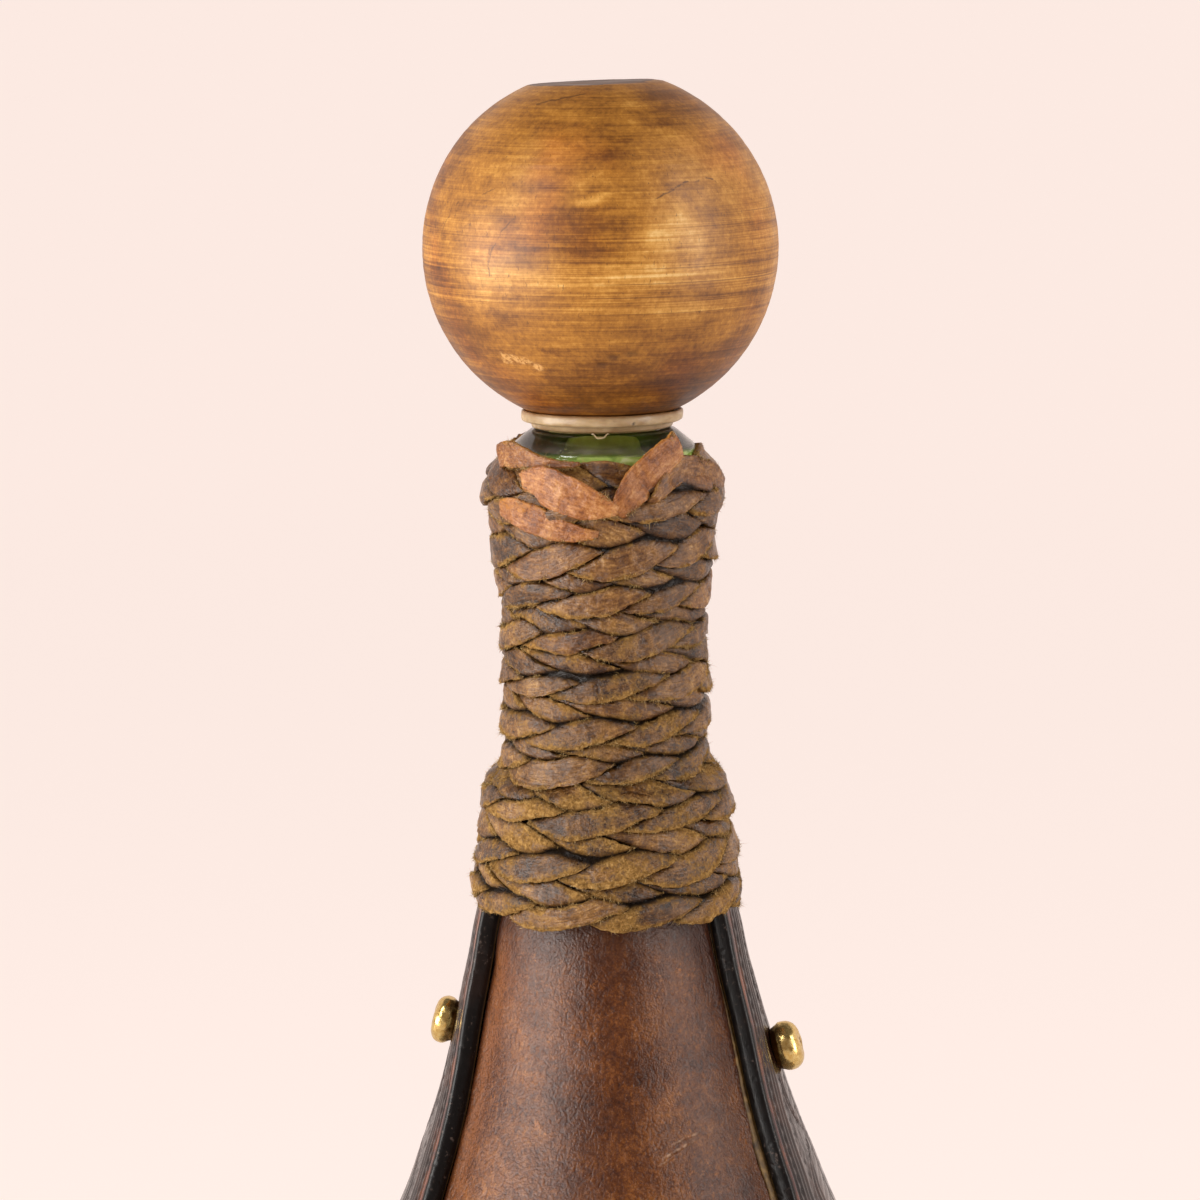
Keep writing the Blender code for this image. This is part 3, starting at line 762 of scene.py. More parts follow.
def fibre_material():
    t = Tree("lace_fibre_fine")
    each = t.attr("each")
    colour = t.ramp(each, [
        (0.0, srgb(98, 72, 38)), (0.35, srgb(144, 112, 64)), (0.7, srgb(184, 150, 94)), (1.0, srgb(216, 188, 134)),
    ])
    t.surface(Base_Color=colour, Roughness=0.85, Specular_IOR_Level=0.2)
    return t.mat


def brass_material():
    t = Tree("aged_brass_fine")
    big = t.noise(260, 4, 0.65)
    fine = t.noise(1500, 4, 0.65)
    colour = t.ramp(fine, [(0.3, srgb(216, 176, 96)), (0.7, srgb(248, 222, 152))])
    tarnish = t.curve(t.math("ADD", big, t.math("MULTIPLY", t.attr("grime_and_painted_light"), 0.35)), 0.60, 0.80)
    colour = t.mix(tarnish, colour, srgb(104, 66, 26))
    rough = t.math("ADD", t.curve(fine, 0.3, 0.7, 0.16, 0.34, "LINEAR"), t.math("MULTIPLY", tarnish, 0.25))
    t.surface(
        Base_Color=colour, Metallic=1.0, Roughness=rough,
        Normal=t.bump(t.math("ADD", big, t.math("MULTIPLY", fine, 0.5)), 0.3, 0.00025),
    )
    return t.mat


WOOD, BARE, PLASTIC, GLASS = wood_material(), bare_wood_material(), plastic_material(), glass_material()
LEATHER, TOOLED, BASE = brown_leather_material(), tooled_leather_material(), base_leather_material()
LACE, FIBRE, BRASS = lace_material(), fibre_material(), brass_material()


# ------------------------------------------------------------ stage and camera
def camera():
    az, pitch, roll = math.radians(4.5), math.radians(8.2), math.radians(-0.6)
    back = Vector((math.sin(az) * math.cos(pitch), -math.cos(az) * math.cos(pitch), math.sin(pitch)))
    right0 = Vector((math.cos(az), math.sin(az), 0))
    up0 = back.cross(right0)
    right = right0 * math.cos(roll) + up0 * math.sin(roll)
    up = -right0 * math.sin(roll) + up0 * math.cos(roll)
    place = Vector((0, 0, 0.2578)) - 0.00068 * right0 + 0.852 * back
    data = bpy.data.cameras.new("camera")
    data.lens, data.sensor_width, data.sensor_fit = 150, 36, "HORIZONTAL"
    data.clip_start, data.clip_end = 0.02, 30
    obj = bpy.data.objects.new("camera", data)
    turn = Matrix((right, up, back)).transposed()
    obj.matrix_world = Matrix.Translation(place) @ turn.to_4x4()
    bpy.context.scene.collection.objects.link(obj)
    bpy.context.scene.camera = obj


def stage():
    """A pale bowl: a flat floor that curves up into a wall all round."""
    profile = [(0.0, 0.0), (0.4, 0.0), (1.2, 0.0), (2.4, 0.0)]
    for i in range(1, 25):
        a = PI / 2 * i / 24
        profile.append((2.4 + 1.3 * math.sin(a), 1.3 - 1.3 * math.cos(a)))
    profile += [(3.7, 2.4), (3.7, 3.6)]
    a = np.linspace(0, 2 * PI, 96, endpoint=False)
    rows = np.array(profile[1:])
    pts = np.stack([
        rows[:, 0][:, None] * np.sin(a), -rows[:, 0][:, None] * np.cos(a),
        np.repeat(rows[:, 1][:, None], 96, 1)], -1).reshape(-1, 3)
    pts = np.concatenate([pts, [[0, 0, 0]]])
    i = np.arange(96)
    quads = grid_quads(len(rows), 96, wrap_cols=True)
    mesh = bpy.data.meshes.new("backdrop")
    mesh.from_pydata(pts.tolist(), [], quads.tolist() + [(len(pts) - 1, int((k + 1) % 96), int(k)) for k in i])
    mesh.polygons.foreach_set("use_smooth", [True] * len(mesh.polygons))
    obj = bpy.data.objects.new("backdrop", mesh)
    bpy.context.scene.collection.objects.link(obj)
    t = Tree("backdrop")
    pale = srgb(252, 236, 229)
    matte = t.add("BsdfDiffuse")
    matte.inputs["Color"].default_value = pale
    glow = t.add("Emission")
    glow.inputs["Color"].default_value = pale
    ray = t.add("LightPath")
    seen = t.math("MAXIMUM", ray.outputs["Is Camera Ray"], ray.outputs["Is Transmission Ray"])
    # the room behind the camera is darker than the backdrop
    lit = t.curve(t.parts()[1], -2.2, 1.6, 0.25, 1.0)
    t.put(glow.inputs["Strength"], t.mix_value(seen, lit, 1.21))
    both = t.add("MixShader")
    both.inputs[0].default_value = 0.70
    t.nt.links.new(matte.outputs[0], both.inputs[1])
    t.nt.links.new(glow.outputs[0], both.inputs[2])
    t.nt.links.new(both.outputs[0], t.out.inputs["Surface"])
    mesh.materials.append(t.mat)


def lamp(name, azimuth, height, distance, size, power, colour, aim=(0, 0, 0.22)):
    """A softbox at an azimuth from the camera's side of the object."""
    az = math.radians(azimuth + 4.5)
    data = bpy.data.lights.new(name, "AREA")
    data.shape, data.size, data.size_y = "RECTANGLE", size[0], size[1]
    data.energy, data.color = power, colour
    obj = bpy.data.objects.new(name, data)
    place = Vector((math.sin(az) * distance, -math.cos(az) * distance, height))
    obj.matrix_world = Matrix.Translation(place) @ (Vector(aim) - place).to_track_quat("-Z", "Y").to_matrix().to_4x4()
    obj.visible_camera = False
    bpy.context.scene.collection.objects.link(obj)


def light():
    world = bpy.data.worlds.new("world")
    world.use_nodes = True
    world.node_tree.nodes["Background"].inputs[0].default_value = srgb(250, 240, 236)
    world.node_tree.nodes["Background"].inputs[1].default_value = 0.14
    bpy.context.scene.world = world
    lamp("softbox_left", -66, 0.24, 0.95, (0.80, 0.60), 13.4, (1.0, 0.97, 0.94))
    lamp("softbox_high_left", -50, 0.94, 0.80, (0.30, 0.30), 3.2, (1.0, 0.97, 0.94))
    lamp("softbox_right", 64, 0.34, 1.0, (0.42, 0.60), 5.0, (1.0, 0.97, 0.94))
    lamp("softbox_high_right", 70, 0.90, 0.85, (0.26, 0.34), 2.4, (1.0, 0.97, 0.94))
    bpy.context.scene.view_settings.view_transform = "Standard"
    bpy.context.scene.view_settings.look = "None"


camera()
stage()
light()


# --------------------------------------------------------------------- stopper
def stopper():
    # ball: foot, sphere, flat top a little out of level, and the blind hole
    low = -math.asin((BALL_Z - BALL_FOOT_Z) / BALL_R)
    high = math.asin((HEIGHT - 0.25 - BALL_Z) / BALL_R)
    arc = [(BALL_R * math.cos(a), BALL_Z + BALL_R * math.sin(a)) for a in np.linspace(low, high, 176)]
    flat = [(9.6, 345.94), (9.0, 346.0), (7.5, 346.0), (5.5, 346.0), (3.4, 346.0), (1.4, 346.0)]
    hole = [(0.0, 309.4), (4.1, 309.4), (4.3, 309.2), (4.3, 300.0), (4.3, 290.8), (4.7, BALL_FOOT_Z), (8.0, BALL_FOOT_Z), (11.9, BALL_FOOT_Z)]
    profile = np.array(hole + arc + flat + [(0.0, 346.0)])
    pts, faces = lathe(profile, 320)
    x, y, z = pts.T
    r = np.hypot(x, y)
    skin = (np.abs(np.sqrt(r**2 + (z - BALL_Z) ** 2) - BALL_R) < 0.3) | (z > 345)
    # the flat is cut at a slight tilt, lower on the left
    plane = np.minimum(345.70 + 0.030 * x, 346.0)
    cut = skin & (z > plane)
    pts[:, 2] = np.where(cut, plane, z)
    # turned by hand: slightly out of round, faint tool rings, small dents
    way = pts / 14.0
    out = 0.10 * noise(way, 3) + 0.028 * noise(np.stack([x / 40, y / 40, z * 1.6], 1), 5)
    chip = blob(pts, (-12.4, -21.4, 300.9), (3.6, 3.6, 1.3), 1.6)
    chip = np.maximum(chip, blob(pts, (-9.8, -22.1, 300.1), (2.0, 2.0, 1.0), 1.6))
    pits = np.maximum(blob(pts, (4.0, -24.9, 301.6), (1.5, 1.5, 0.8), 1.5), blob(pts, (2.0, -24.5, 300.3), (1.2, 1.4, 0.7), 1.5))
    pits = np.maximum(pits, blob(pts, (7.0, -24.6, 302.2), (1.6, 1.6, 0.6), 1.5))
    out -= 0.20 * chip + 0.15 * pits
    centre = np.array([0, 0, BALL_Z])
    ray = pts - centre
    ray /= np.maximum(np.linalg.norm(ray, axis=1), 1e-6)[:, None]
    pts = pts + ray * (out * skin)[:, None]
    x, y, z = pts.T
    # tone of the stain: a dark patch at the front and pale places near it; two of the pale places are painted
    # highlights
    wob = pts + 2.2 * np.stack([noise(pts / 5, 21), noise(pts / 5, 22), noise(pts / 5, 23)], 1)
    tone = -0.20 * blob(wob, (-2.5, -29.3, 321.3), (16.5, 12, 6.0), 1.4)
    # painted highlight: the right lamp's highlight on the ball, painted pale into the stain
    tone += 0.20 * blob(wob, (13.8, -26.0, 321.6), (7.0, 9, 5.0), 1.4)
    tone += 0.30 * blob(wob, (0.3, -28.3, 328.0), (4.0, 6, 1.6), 1.3)
    tone += 0.22 * blob(wob, (-1.9, -26.9, 330.9), (1.6, 4, 1.6), 1.3)
    # painted highlight: the left lamp's highlight on the ball, painted pale into the stain
    tone += 0.16 * blob(wob, (-17.5, -22.5, 314.5), (8.0, 10, 8.0), 1.2)
    tone += 0.14 * blob(wob, (-9.0, -28, 328.5), (9.0, 9, 2.6), 1.2)
    # darker towards the bottom and the top, at one place low on the right, and on the cut flat
    tone += -0.13 * step01(310 - z, 0, 8)
    tone += -0.14 * step01(301 - z, 0, 7)
    tone += -0.10 * step01(z, 328, 342)
    tone += -0.14 * blob(wob, (16.5, -22, 302.5), (9, 9, 4.0), 1.2)
    tone -= 0.30 * cut
    # painted shade: the left side, most at the upper left, and the right side painted darker against the lamps
    tone -= 0.015 + 0.15 * step01(-x, 16, 29) + 0.07 * step01(-x, 5, 22) * step01(z, 322, 334) + 0.05 * step01(x, 12, 27)
    streaky = step01(z, 305, 311) * (1 - step01(z, 321, 327)) + 0.30 * (1 - step01(z, 300, 306))
    mark = 0.55 * pits
    mark = np.maximum(mark, 0.40 * cut * (0.6 + 0.4 * noise(pts / 3, 44)))
    mark = np.clip(mark, 0, 1)
    make("stopper_ball_turned", pts, faces, WOOD, "stopper", ["stopper_ball"],
         {"tone": tone, "streaky": streaky, "mark": mark})

    # plug: flange, step, stem with sealing fins, a flash curl and a crack
    side = [
        (0.0, 267.6), (4.1, 267.6), (4.3, 267.8), (4.3, 278.0), (4.3, 289.9), (4.5, 290.1),
        (12.2, 290.1), (12.7, 290.3), (13.1, 290.62), (13.4, 290.66), (13.62, 290.5), (13.72, 290.1), (13.74, 289.7), (13.72, 289.4), (13.7, 289.15), (13.62, 288.92), (13.4, 288.78), (12.9, 288.72),
        (12.2, 288.66), (12.02, 288.5), (12.0, 288.0), (11.9, 287.75), (11.6, 287.65), (9.3, 287.65), (9.05, 287.4), (9.05, 286.8),
        (9.05, 282.0), (9.0, 275.0), (8.8, 274.4), (7.6, 274.0), (7.2, 273.6),
    ]
    for fin in (271.8, 269.2):
        side += [(7.2, fin + 0.75), (7.35, fin + 0.5), (8.7, fin + 0.28), (9.0, fin + 0.12), (9.05, fin - 0.05),
                 (8.95, fin - 0.22), (8.6, fin - 0.35), (7.35, fin - 0.55), (7.2, fin - 0.8)]
    side += [(7.2, 266.0), (7.1, 264.7), (6.7, 264.15), (6.2, 264.0), (3.0, 264.0), (0.0, 264.0)]
    pts, faces = lathe(dense(side, 0.7), 200)
    x, y, z = pts.T
    r = np.hypot(x, y)
    rim = step01(r, 11.5, 13.2)
    pts[:, :2] *= (1 + rim * 0.006 * noise(pts / 2.2, 31) + rim * 0.004 * noise(pts / 0.8, 32))[:, None]
    pts[:, 2] += rim * 0.06 * noise(pts / 2.5, 33)
    angle = np.degrees(np.arctan2(x, -y))
    split = np.exp(-((angle - 27.2 - (289.2 - z) * 2.4) / 0.55) ** 2) * step01(r, 12.4, 13.2) * (z < 289.5)
    pts[:, :2] *= (1 - 0.012 * split)[:, None]
    # darker below the flange
    grime_and_painted_light = np.clip(0.5 * step01(288.5 - z, 0, 0.9) * (z > 287) + 0.25 * np.clip(noise(pts * 1.3, 35), 0, 1), 0, 1)
    # painted reflection: the ball's orange-brown painted onto the flange top where the ball sits
    grime_and_painted_light = np.maximum(grime_and_painted_light, 0.75 * step01(z, 289.9, 290.5) * step01(r, 12.0, 13.0))
    make("stopper_plug_moulded", pts, faces, PLASTIC, "stopper", ["stopper_plug"],
         {"grime_and_painted_light": grime_and_painted_light, "crack": np.clip(split * 1.3, 0, 0.9)})

    # a thin curl of moulding flash under the flange
    n, m = 26, 8
    s = np.linspace(0, 1, n)
    ang = np.radians(-4.0 + 14.0 * s)
    rr = 12.35 + 0.25 * np.sin(PI * s)
    zz = 287.55 - 0.75 * np.sin(PI * s) ** 2 + 0.1 * np.sin(5 * PI * s)
    wide = 0.22 * np.sin(PI * np.clip(s, 0.02, 0.98)) ** 0.6 + 0.03
    b = np.linspace(0, 2 * PI, m, endpoint=False)
    rows = []
    for i in range(n):
        rad = rr[i] + 0.10 * np.cos(b)
        rows.append(np.stack([rad * np.sin(ang[i]), -rad * np.cos(ang[i]), zz[i] + wide[i] * np.sin(b)], 1))
    pts = np.concatenate(rows)
    caps = [np.array([list(range(m))[::-1]]), np.array([[(n - 1) * m + k for k in range(m)]])]
    make("stopper_plug_flash", pts, [grid_quads(n, m, wrap_cols=True)] + caps, PLASTIC, "stopper", (),
         {"grime_and_painted_light": np.full(len(pts), 0.1), "crack": np.zeros(len(pts))})


# ----------------------------------------------------------------------- glass
def glass():
    inner = [(0.0, 22.8), (10.0, 21.4), (26.0, 15.2), (37.0, 10.4), (44.0, 10.6), (48.2, 14.0)]
    for z in (26, 35, 45, 55, 65, 75, 85, 95, 105, 115, 125, 135, 145, 155, 165, 175, 185, 193, 201, 209, 216, 224):
        inner.append((max(float(glass_r(z)) - GLASS_WALL, BORE_R), float(z)))
    inner += [(BORE_R, 236.0), (BORE_R, 250.0), (BORE_R, 264.0), (BORE_R, 278.0), (BORE_R, 286.2), (9.55, 286.8), (9.95, 287.25)]
    lip = [(10.6, LIP_TOP), (11.5, LIP_TOP), (12.2, 287.25), (12.8, 286.85), (13.6, 286.2), (14.4, 285.55), (15.1, 285.0), (15.5, 284.65),
           (15.78, 284.3), (15.93, 283.9), (16.0, 283.4), (16.02, 282.7), (15.95, 282.0), (15.7, 281.2), (15.2, 280.3), (14.6, 279.3), (14.1, 278.2), (13.85, 277.0),
           (13.72, 275.0), (13.7, 272.0), (13.7, 262.0), (13.7, 252.0), (13.7, 244.0), (13.7, 236.0)]
    outer = [(float(glass_r(z)), float(z)) for z in (
        226, 220, 213, 207, 201, 195, 189, 183, 176, 169, 161, 153, 144, 135, 126, 117, 108, 99, 90, 80, 70, 60, 50, 40, 30, 20, 12)]
    low = [(51.6, 7.5), (50.9, 5.2), (50.0, 4.0), (48.6, 3.4), (46.0, 3.4), (43.0, 3.4), (40.5, 3.9), (34.0, 6.9), (26.0, 11.0),
           (18.0, 15.0), (11.0, 17.2), (5.0, 18.1), (0.0, PUNT_TOP)]
    pts, faces = lathe(np.array(inner + lip + outer + low), 160)
    x, y, z = pts.T
    r = np.hypot(x, y)
    # blown glass: the mouth is not quite round or level
    near = step01(z, 272, 282) * step01(r, 9.6, 11.5)
    pts[:, :2] *= (1 + near * 0.006 * noise(pts / 9, 51))[:, None]
    pts[:, 2] += near * 0.10 * noise(pts / 7, 52)
    outside = (r > 10.3) & (z > 276)
    worn = outside * np.exp(-((r - 15.3) / 0.75) ** 2) * (z > 284.3) * (0.6 + 0.4 * noise(pts / 1.3, 53))
    # painted light: a green film below the bulge of the mouth stands for light seen through the glass
    green = outside * step01(284.9 - z, 0.4, 1.3) * 0.84
    # painted reflection of the backdrop, in grey, on the two sides of the mouth
    turn = np.degrees(np.arctan2(x, -y))
    scuff = outside * (z > 283.6) * (np.exp(-((turn + 86) / 11) ** 2) + np.exp(-((turn - 92) / 11) ** 2)) * step01(r, 12.8, 14.6)
    scuff = np.clip(scuff * (0.85 + 0.5 * noise(pts / 1.6, 54)), 0, 1)
    painted_light_film = np.clip(np.maximum(np.maximum(green, 0.32 * worn), 0.60 * scuff), 0, 1)
    rim_grey_and_painted_reflection = np.clip(np.maximum(worn, scuff) / np.maximum(painted_light_film, 0.05), 0, 1)
    groups = list(faces)
    # a few small seeds (air bubbles) in the lip
    rng = np.random.default_rng(5)
    extra, count = [pts], len(pts)
    for k in range(14):
        a = math.radians(-25 + 8 * rng.random() if k < 6 else 360 * rng.random())
        rad, high, size = 12.4 + 1.6 * rng.random(), 283.0 + 2.2 * rng.random(), 0.10 + 0.14 * rng.random()
        prof = [(size * math.sin(b), size * math.cos(b)) for b in np.linspace(0, PI, 7)]
        p, f = lathe(np.array(prof), 10)
        if volume6(p, f) > 0:
            f = [g[:, ::-1] for g in f]  # a hole in the glass faces inward
        extra.append(p + np.array([rad * math.sin(a), -rad * math.cos(a), high]))
        groups += [g + count for g in f]
        count += len(p)
    pad = np.zeros(count - len(pts))
    make("glass_bottle_blown", np.concatenate(extra), groups, GLASS, "bottle", ["glass_bottle"],
         {"painted_light_film": np.concatenate([painted_light_film, pad]), "rim_grey_and_painted_reflection": np.concatenate([rim_grey_and_painted_reflection, pad])})


# ---------------------------------------------------------------------- leather
def cover(name, node, turn):
    """Half of the brown leather skin, from seam to seam, as a thin closed shell."""
    half = math.radians(90 - 0.5)
    cols, rows = 201, 245
    ang = np.linspace(-half, half, cols) + turn
    zs = np.linspace(COVER_LOW, COVER_TOP, rows)
    aa, zz = np.meshgrid(ang, zs)
    base = glass_r(zz) + LEATHER_GAP * lean(zz)
    # the top is skived thin where it goes up under the braid
    thick = COVER_T * lean(zz) * (1 - 0.55 * step01(zz, 207, 224))
    outer = base + thick
    way = np.stack([outer * np.sin(aa), -outer * np.cos(aa), zz], -1).reshape(-1, 3)
    # leather stretched over glass: broad hollows, soft creases, fine unevenness
    lump = 0.22 * noise(way / 17, 61) + 0.10 * noise(way / 6.5, 62) + 0.045 * noise(way / 2.4, 63)
    fold = noise(np.stack([way[:, 0] / 5, way[:, 1] / 5, way[:, 2] / 26], 1), 64)
    lump += -0.16 * np.clip(1 - np.abs(fold) / 0.10, 0, 1) ** 1.5 * step01(noise(way / 30, 65), -0.1, 0.5)
    # a raised rib of paste along the strap edges
    side = np.abs(np.abs(np.mod(aa - turn + PI, 2 * PI) - PI))
    gap = (PI / 2 - strap_half(zz) - side) * outer
    swell = 0.25 * np.exp(-((gap - 1.0) / 1.6) ** 2)
    out = outer + lump.reshape(outer.shape) * step01(zz, 4, 14) + swell
    move = drift(zz)
    skin = np.stack([out * np.sin(aa) + move, -out * np.cos(aa), zz], -1)
    back = np.stack([base * np.sin(aa), -base * np.cos(aa), zz], -1)
    pts = np.concatenate([skin.reshape(-1, 3), back.reshape(-1, 3)])
    n = rows * cols
    front_q = grid_quads(rows, cols)
    back_q = grid_quads(rows, cols, first=n)[:, ::-1]
    def rim(ids):
        a, b = ids[:-1], ids[1:]
        return np.stack([a, b, b + n, a + n], 1)
    bottom = np.arange(cols)
    top = (rows - 1) * cols + np.arange(cols)
    left = np.arange(rows) * cols
    right = left + cols - 1
    groups = [front_q, back_q, rim(bottom)[:, ::-1], rim(top), rim(left), rim(right)[:, ::-1]]
    x, y, z = pts.T
    gap2 = np.concatenate([gap.ravel(), gap.ravel()])
    sideways = np.concatenate([np.sin(aa - turn).ravel()] * 2)
    orange = 0.55 * np.exp(-((gap2 - 3.2) / 2.2) ** 2) * (sideways < 0) * (0.7 + 0.5 * noise(pts / 8, 66))
    orange += 0.30 * np.clip(noise(pts / 13, 67), 0, 1)
    orange += 0.30 * np.exp(-((gap2 - 2.5) / 1.6) ** 2) * (sideways > 0) * step01(190 - z, 0, 30)
    # painted shade: darker close to the strap edges, below the braid at the top and towards one side of each cover,
    # over random patches
    mottle_and_painted_shade = 0.75 * np.exp(-(np.clip(gap2, 0, 99) / 1.3) ** 2) + 0.25 * np.clip(noise(pts / 9, 68), 0, 1)
    mottle_and_painted_shade += 0.70 * step01(z, 192, 206) + 0.22 * step01(sideways, 0.55, 0.9)
    make(name, pts, groups, LEATHER, "bottle", [node], {
        "orange": np.clip(orange, 0, 0.8), "mottle_and_painted_shade": np.clip(mottle_and_painted_shade, 0, 0.9)})


def strap(name, node, sign):
    """A thick tooled side strap with painted, rounded edges and stitched borders."""
    rows = 470
    zs = np.linspace(STRAP_LOW, STRAP_TOP, rows)
    # places across the face, -1 to 1, closer together where there is tooling
    lines = [1.0, 0.985, 0.968, 0.95, 0.93, 0.915, 0.90, 0.888, 0.876, 0.864, 0.852, 0.84, 0.828, 0.815, 0.80,
             0.785, 0.77, 0.755, 0.74, 0.72]
    lines += list(np.linspace(0.70, 0.0, 36))
    face = np.array(sorted(set([-v for v in lines] + lines)))
    edge_steps = 7
    zz = zs[:, None]
    slope = glass_slope(zz)
    ln = np.sqrt(1 + slope**2)
    inner = glass_r(zz) + (LEATHER_GAP + COVER_T + STRAP_GAP) * ln
    thick = (STRAP_SKIVED_T + (STRAP_T - STRAP_SKIVED_T) * (1 - step01(zz, 206.6, 208.4))) * ln
    half = strap_half(zz)
    mid_r = inner + thick
    u = face[None, :]
    arc = u * half * mid_r  # mm from the middle of the strap, along the face
    reach = half * mid_r
    from_edge = reach - np.abs(arc)
    # tooling, as depths below the face
    def groove(at, width, depth):
        return depth * np.exp(-((from_edge - at) / width) ** 2)
    step_mm = 2.3  # stitch pitch
    run = np.cumsum(np.concatenate([[0], np.hypot(np.diff(zs), np.diff(glass_r(zs)))]))[:, None]
    fade = 1 - step01(zz, 203, 208)
    stitch = 0.5 + 0.5 * np.cos(2 * PI * run / step_mm)
    down = groove(2.4, 0.34, 0.22) + groove(3.6, 0.42, 0.34) * (0.35 + 0.65 * stitch) + groove(5.0, 0.30, 0.22) + groove(6.1, 0.30, 0.18)
    # a plain running vine of pointed ovals, stamped down the middle
    pitch = 19.0
    vv = np.mod(run / pitch, 1.0) - 0.5
    room = np.clip((reach - 8.0), 0.5, 40)
    wide = np.minimum(room * 0.78, 13.0)
    oval = np.abs(arc) / (wide * np.clip(np.cos(PI * vv), 0.02, 1) ** 0.8 + 0.4)
    ring = np.exp(-((oval - 1.0) / 0.055) ** 2) + 0.8 * np.exp(-((oval - 0.80) / 0.045) ** 2)
    vein = np.exp(-(arc / 0.45) ** 2) * (oval < 0.78)
    ribs = np.exp(-((np.mod(vv * 7.0 + np.abs(arc) * 0.22, 1.0) - 0.5) / 0.13) ** 2) * (oval < 0.7) * (np.abs(arc) > 0.9)
    seeds_v = np.mod(run / (pitch / 8), 1.0) - 0.5
    seed_at = np.abs(arc) - room * 0.93
    seeds = np.exp(-(seed_at**2 + (seeds_v * pitch / 8) ** 2) / 0.42**2)
    backing = step01(oval, 1.05, 1.25) * step01(from_edge, 6.8, 7.8)
    peb = noise(np.stack([arc.ravel() / 0.55, np.broadcast_to(run, arc.shape).ravel() / 0.55, 0 * arc.ravel() + 3.3], 1), 71).reshape(arc.shape)
    middle = step01(from_edge, 6.5, 7.6) * fade
    down = down * fade + middle * (0.30 * ring + 0.26 * vein + 0.16 * ribs + 0.22 * seeds + backing * (0.16 + 0.10 * peb))
    # rounded corner between face and edge
    corner = 0.85
    drop = np.where(from_edge < corner, corner - np.sqrt(np.clip(corner**2 - (corner - from_edge) ** 2, 0, None)), 0)
    drop = np.minimum(drop, thick * 0.45)
    mid = sign * PI / 2
    ang = mid + u * half
    flat_pts = np.stack([mid_r * np.sin(ang), -mid_r * np.cos(ang), np.broadcast_to(zz, ang.shape)], -1)
    wob = (0.10 * noise(flat_pts.reshape(-1, 3) / 12, 72) + 0.05 * noise(flat_pts.reshape(-1, 3) / 3.5, 73)).reshape(ang.shape)
    r_face = mid_r - down - drop + wob
    ragged = 0.16 * line_noise(zs / 4.0, 74 + (sign > 0))[:, None] + 0.07 * line_noise(zs / 1.1, 76)[:, None]
    # cross-section: face, down the far edge, along the back, up the near edge
    cols, ids = [], []
    move = drift(zz)
    def put(angle, radius, kind):
        z_out = zz - 0 * angle
        cols.append(np.stack(np.broadcast_arrays(radius * np.sin(angle) + move, -radius * np.cos(angle), z_out), -1))
        ids.append(kind)
    for c in range(len(face)):
        put(ang[:, c:c + 1] + np.sign(face[c]) * (np.abs(face[c]) > 0.9) * ragged / mid_r * (np.abs(face[c]) - 0.9) * 10, r_face[:, c:c + 1], "face")
    for k in range(1, edge_steps):
        f = k / edge_steps
        bulge = 0.22 * math.sin(PI * f)
        rr = (mid_r - drop[:, -1:]) * (1 - f) + inner * f
        put(mid + half + (ragged + bulge) / mid_r, rr, "edge")
    back_u = np.linspace(1, -1, 9)
    for v in back_u:
        put(mid + v * half, inner + 0 * half, "back")
    for k in range(1, edge_steps):
        f = 1 - k / edge_steps
        bulge = 0.22 * math.sin(PI * f)
        rr = (mid_r - drop[:, :1]) * (1 - f) + inner * f
        put(mid - half - (ragged + bulge) / mid_r, rr, "edge")
    pts = np.stack(cols, 1)  # rows, columns, 3
    ncol = pts.shape[1]
    pts = pts.reshape(-1, 3)
    quads = grid_quads(rows, ncol, wrap_cols=True)
    # ends: strips between the face and the back
    nface = len(face)
    def end(row):
        first = row * ncol
        upper = [first + c for c in range(nface)]
        right = [first + nface + k for k in range(edge_steps - 1)]
        back = [first + nface + edge_steps - 1 + k for k in range(9)]
        left = [first + nface + edge_steps - 1 + 9 + k for k in range(edge_steps - 1)]
        return [upper + right + back + left]
    ends = [np.array(end(0)), np.array(end(rows - 1))[:, ::-1]]
    kind = np.array(ids)
    face_like = np.broadcast_to(from_edge, (rows, nface))
    def per(values_face, edge_value, back_value):
        full = np.zeros((rows, ncol))
        full[:, :nface] = values_face
        full[:, kind == "edge"] = edge_value
        full[:, kind == "back"] = back_value
        return full.ravel()
    paint = per(1 - step01(face_like, 0.7, 1.5), 1.0, 0.0)
    gr = per(np.clip(down / 0.30, 0, 1), 0.0, 0.0)
    red = per(0.55 * np.exp(-((face_like - 1.7) / 0.35) ** 2), 0.0, 0.0)
    worn = per(step01(face_like, 0.6, 1.2) * (1 - step01(face_like, 2.0, 3.2)) + 0.12, 0.35, 0.0)
    raw_edge = per(0.0, 0.0, 1.0)
    make(name, pts, [quads] + ends, TOOLED, "bottle", [node], {
        "paint": paint, "groove": gr, "red": np.clip(red, 0, 1), "worn": np.clip(worn, 0, 1), "raw": raw_edge})


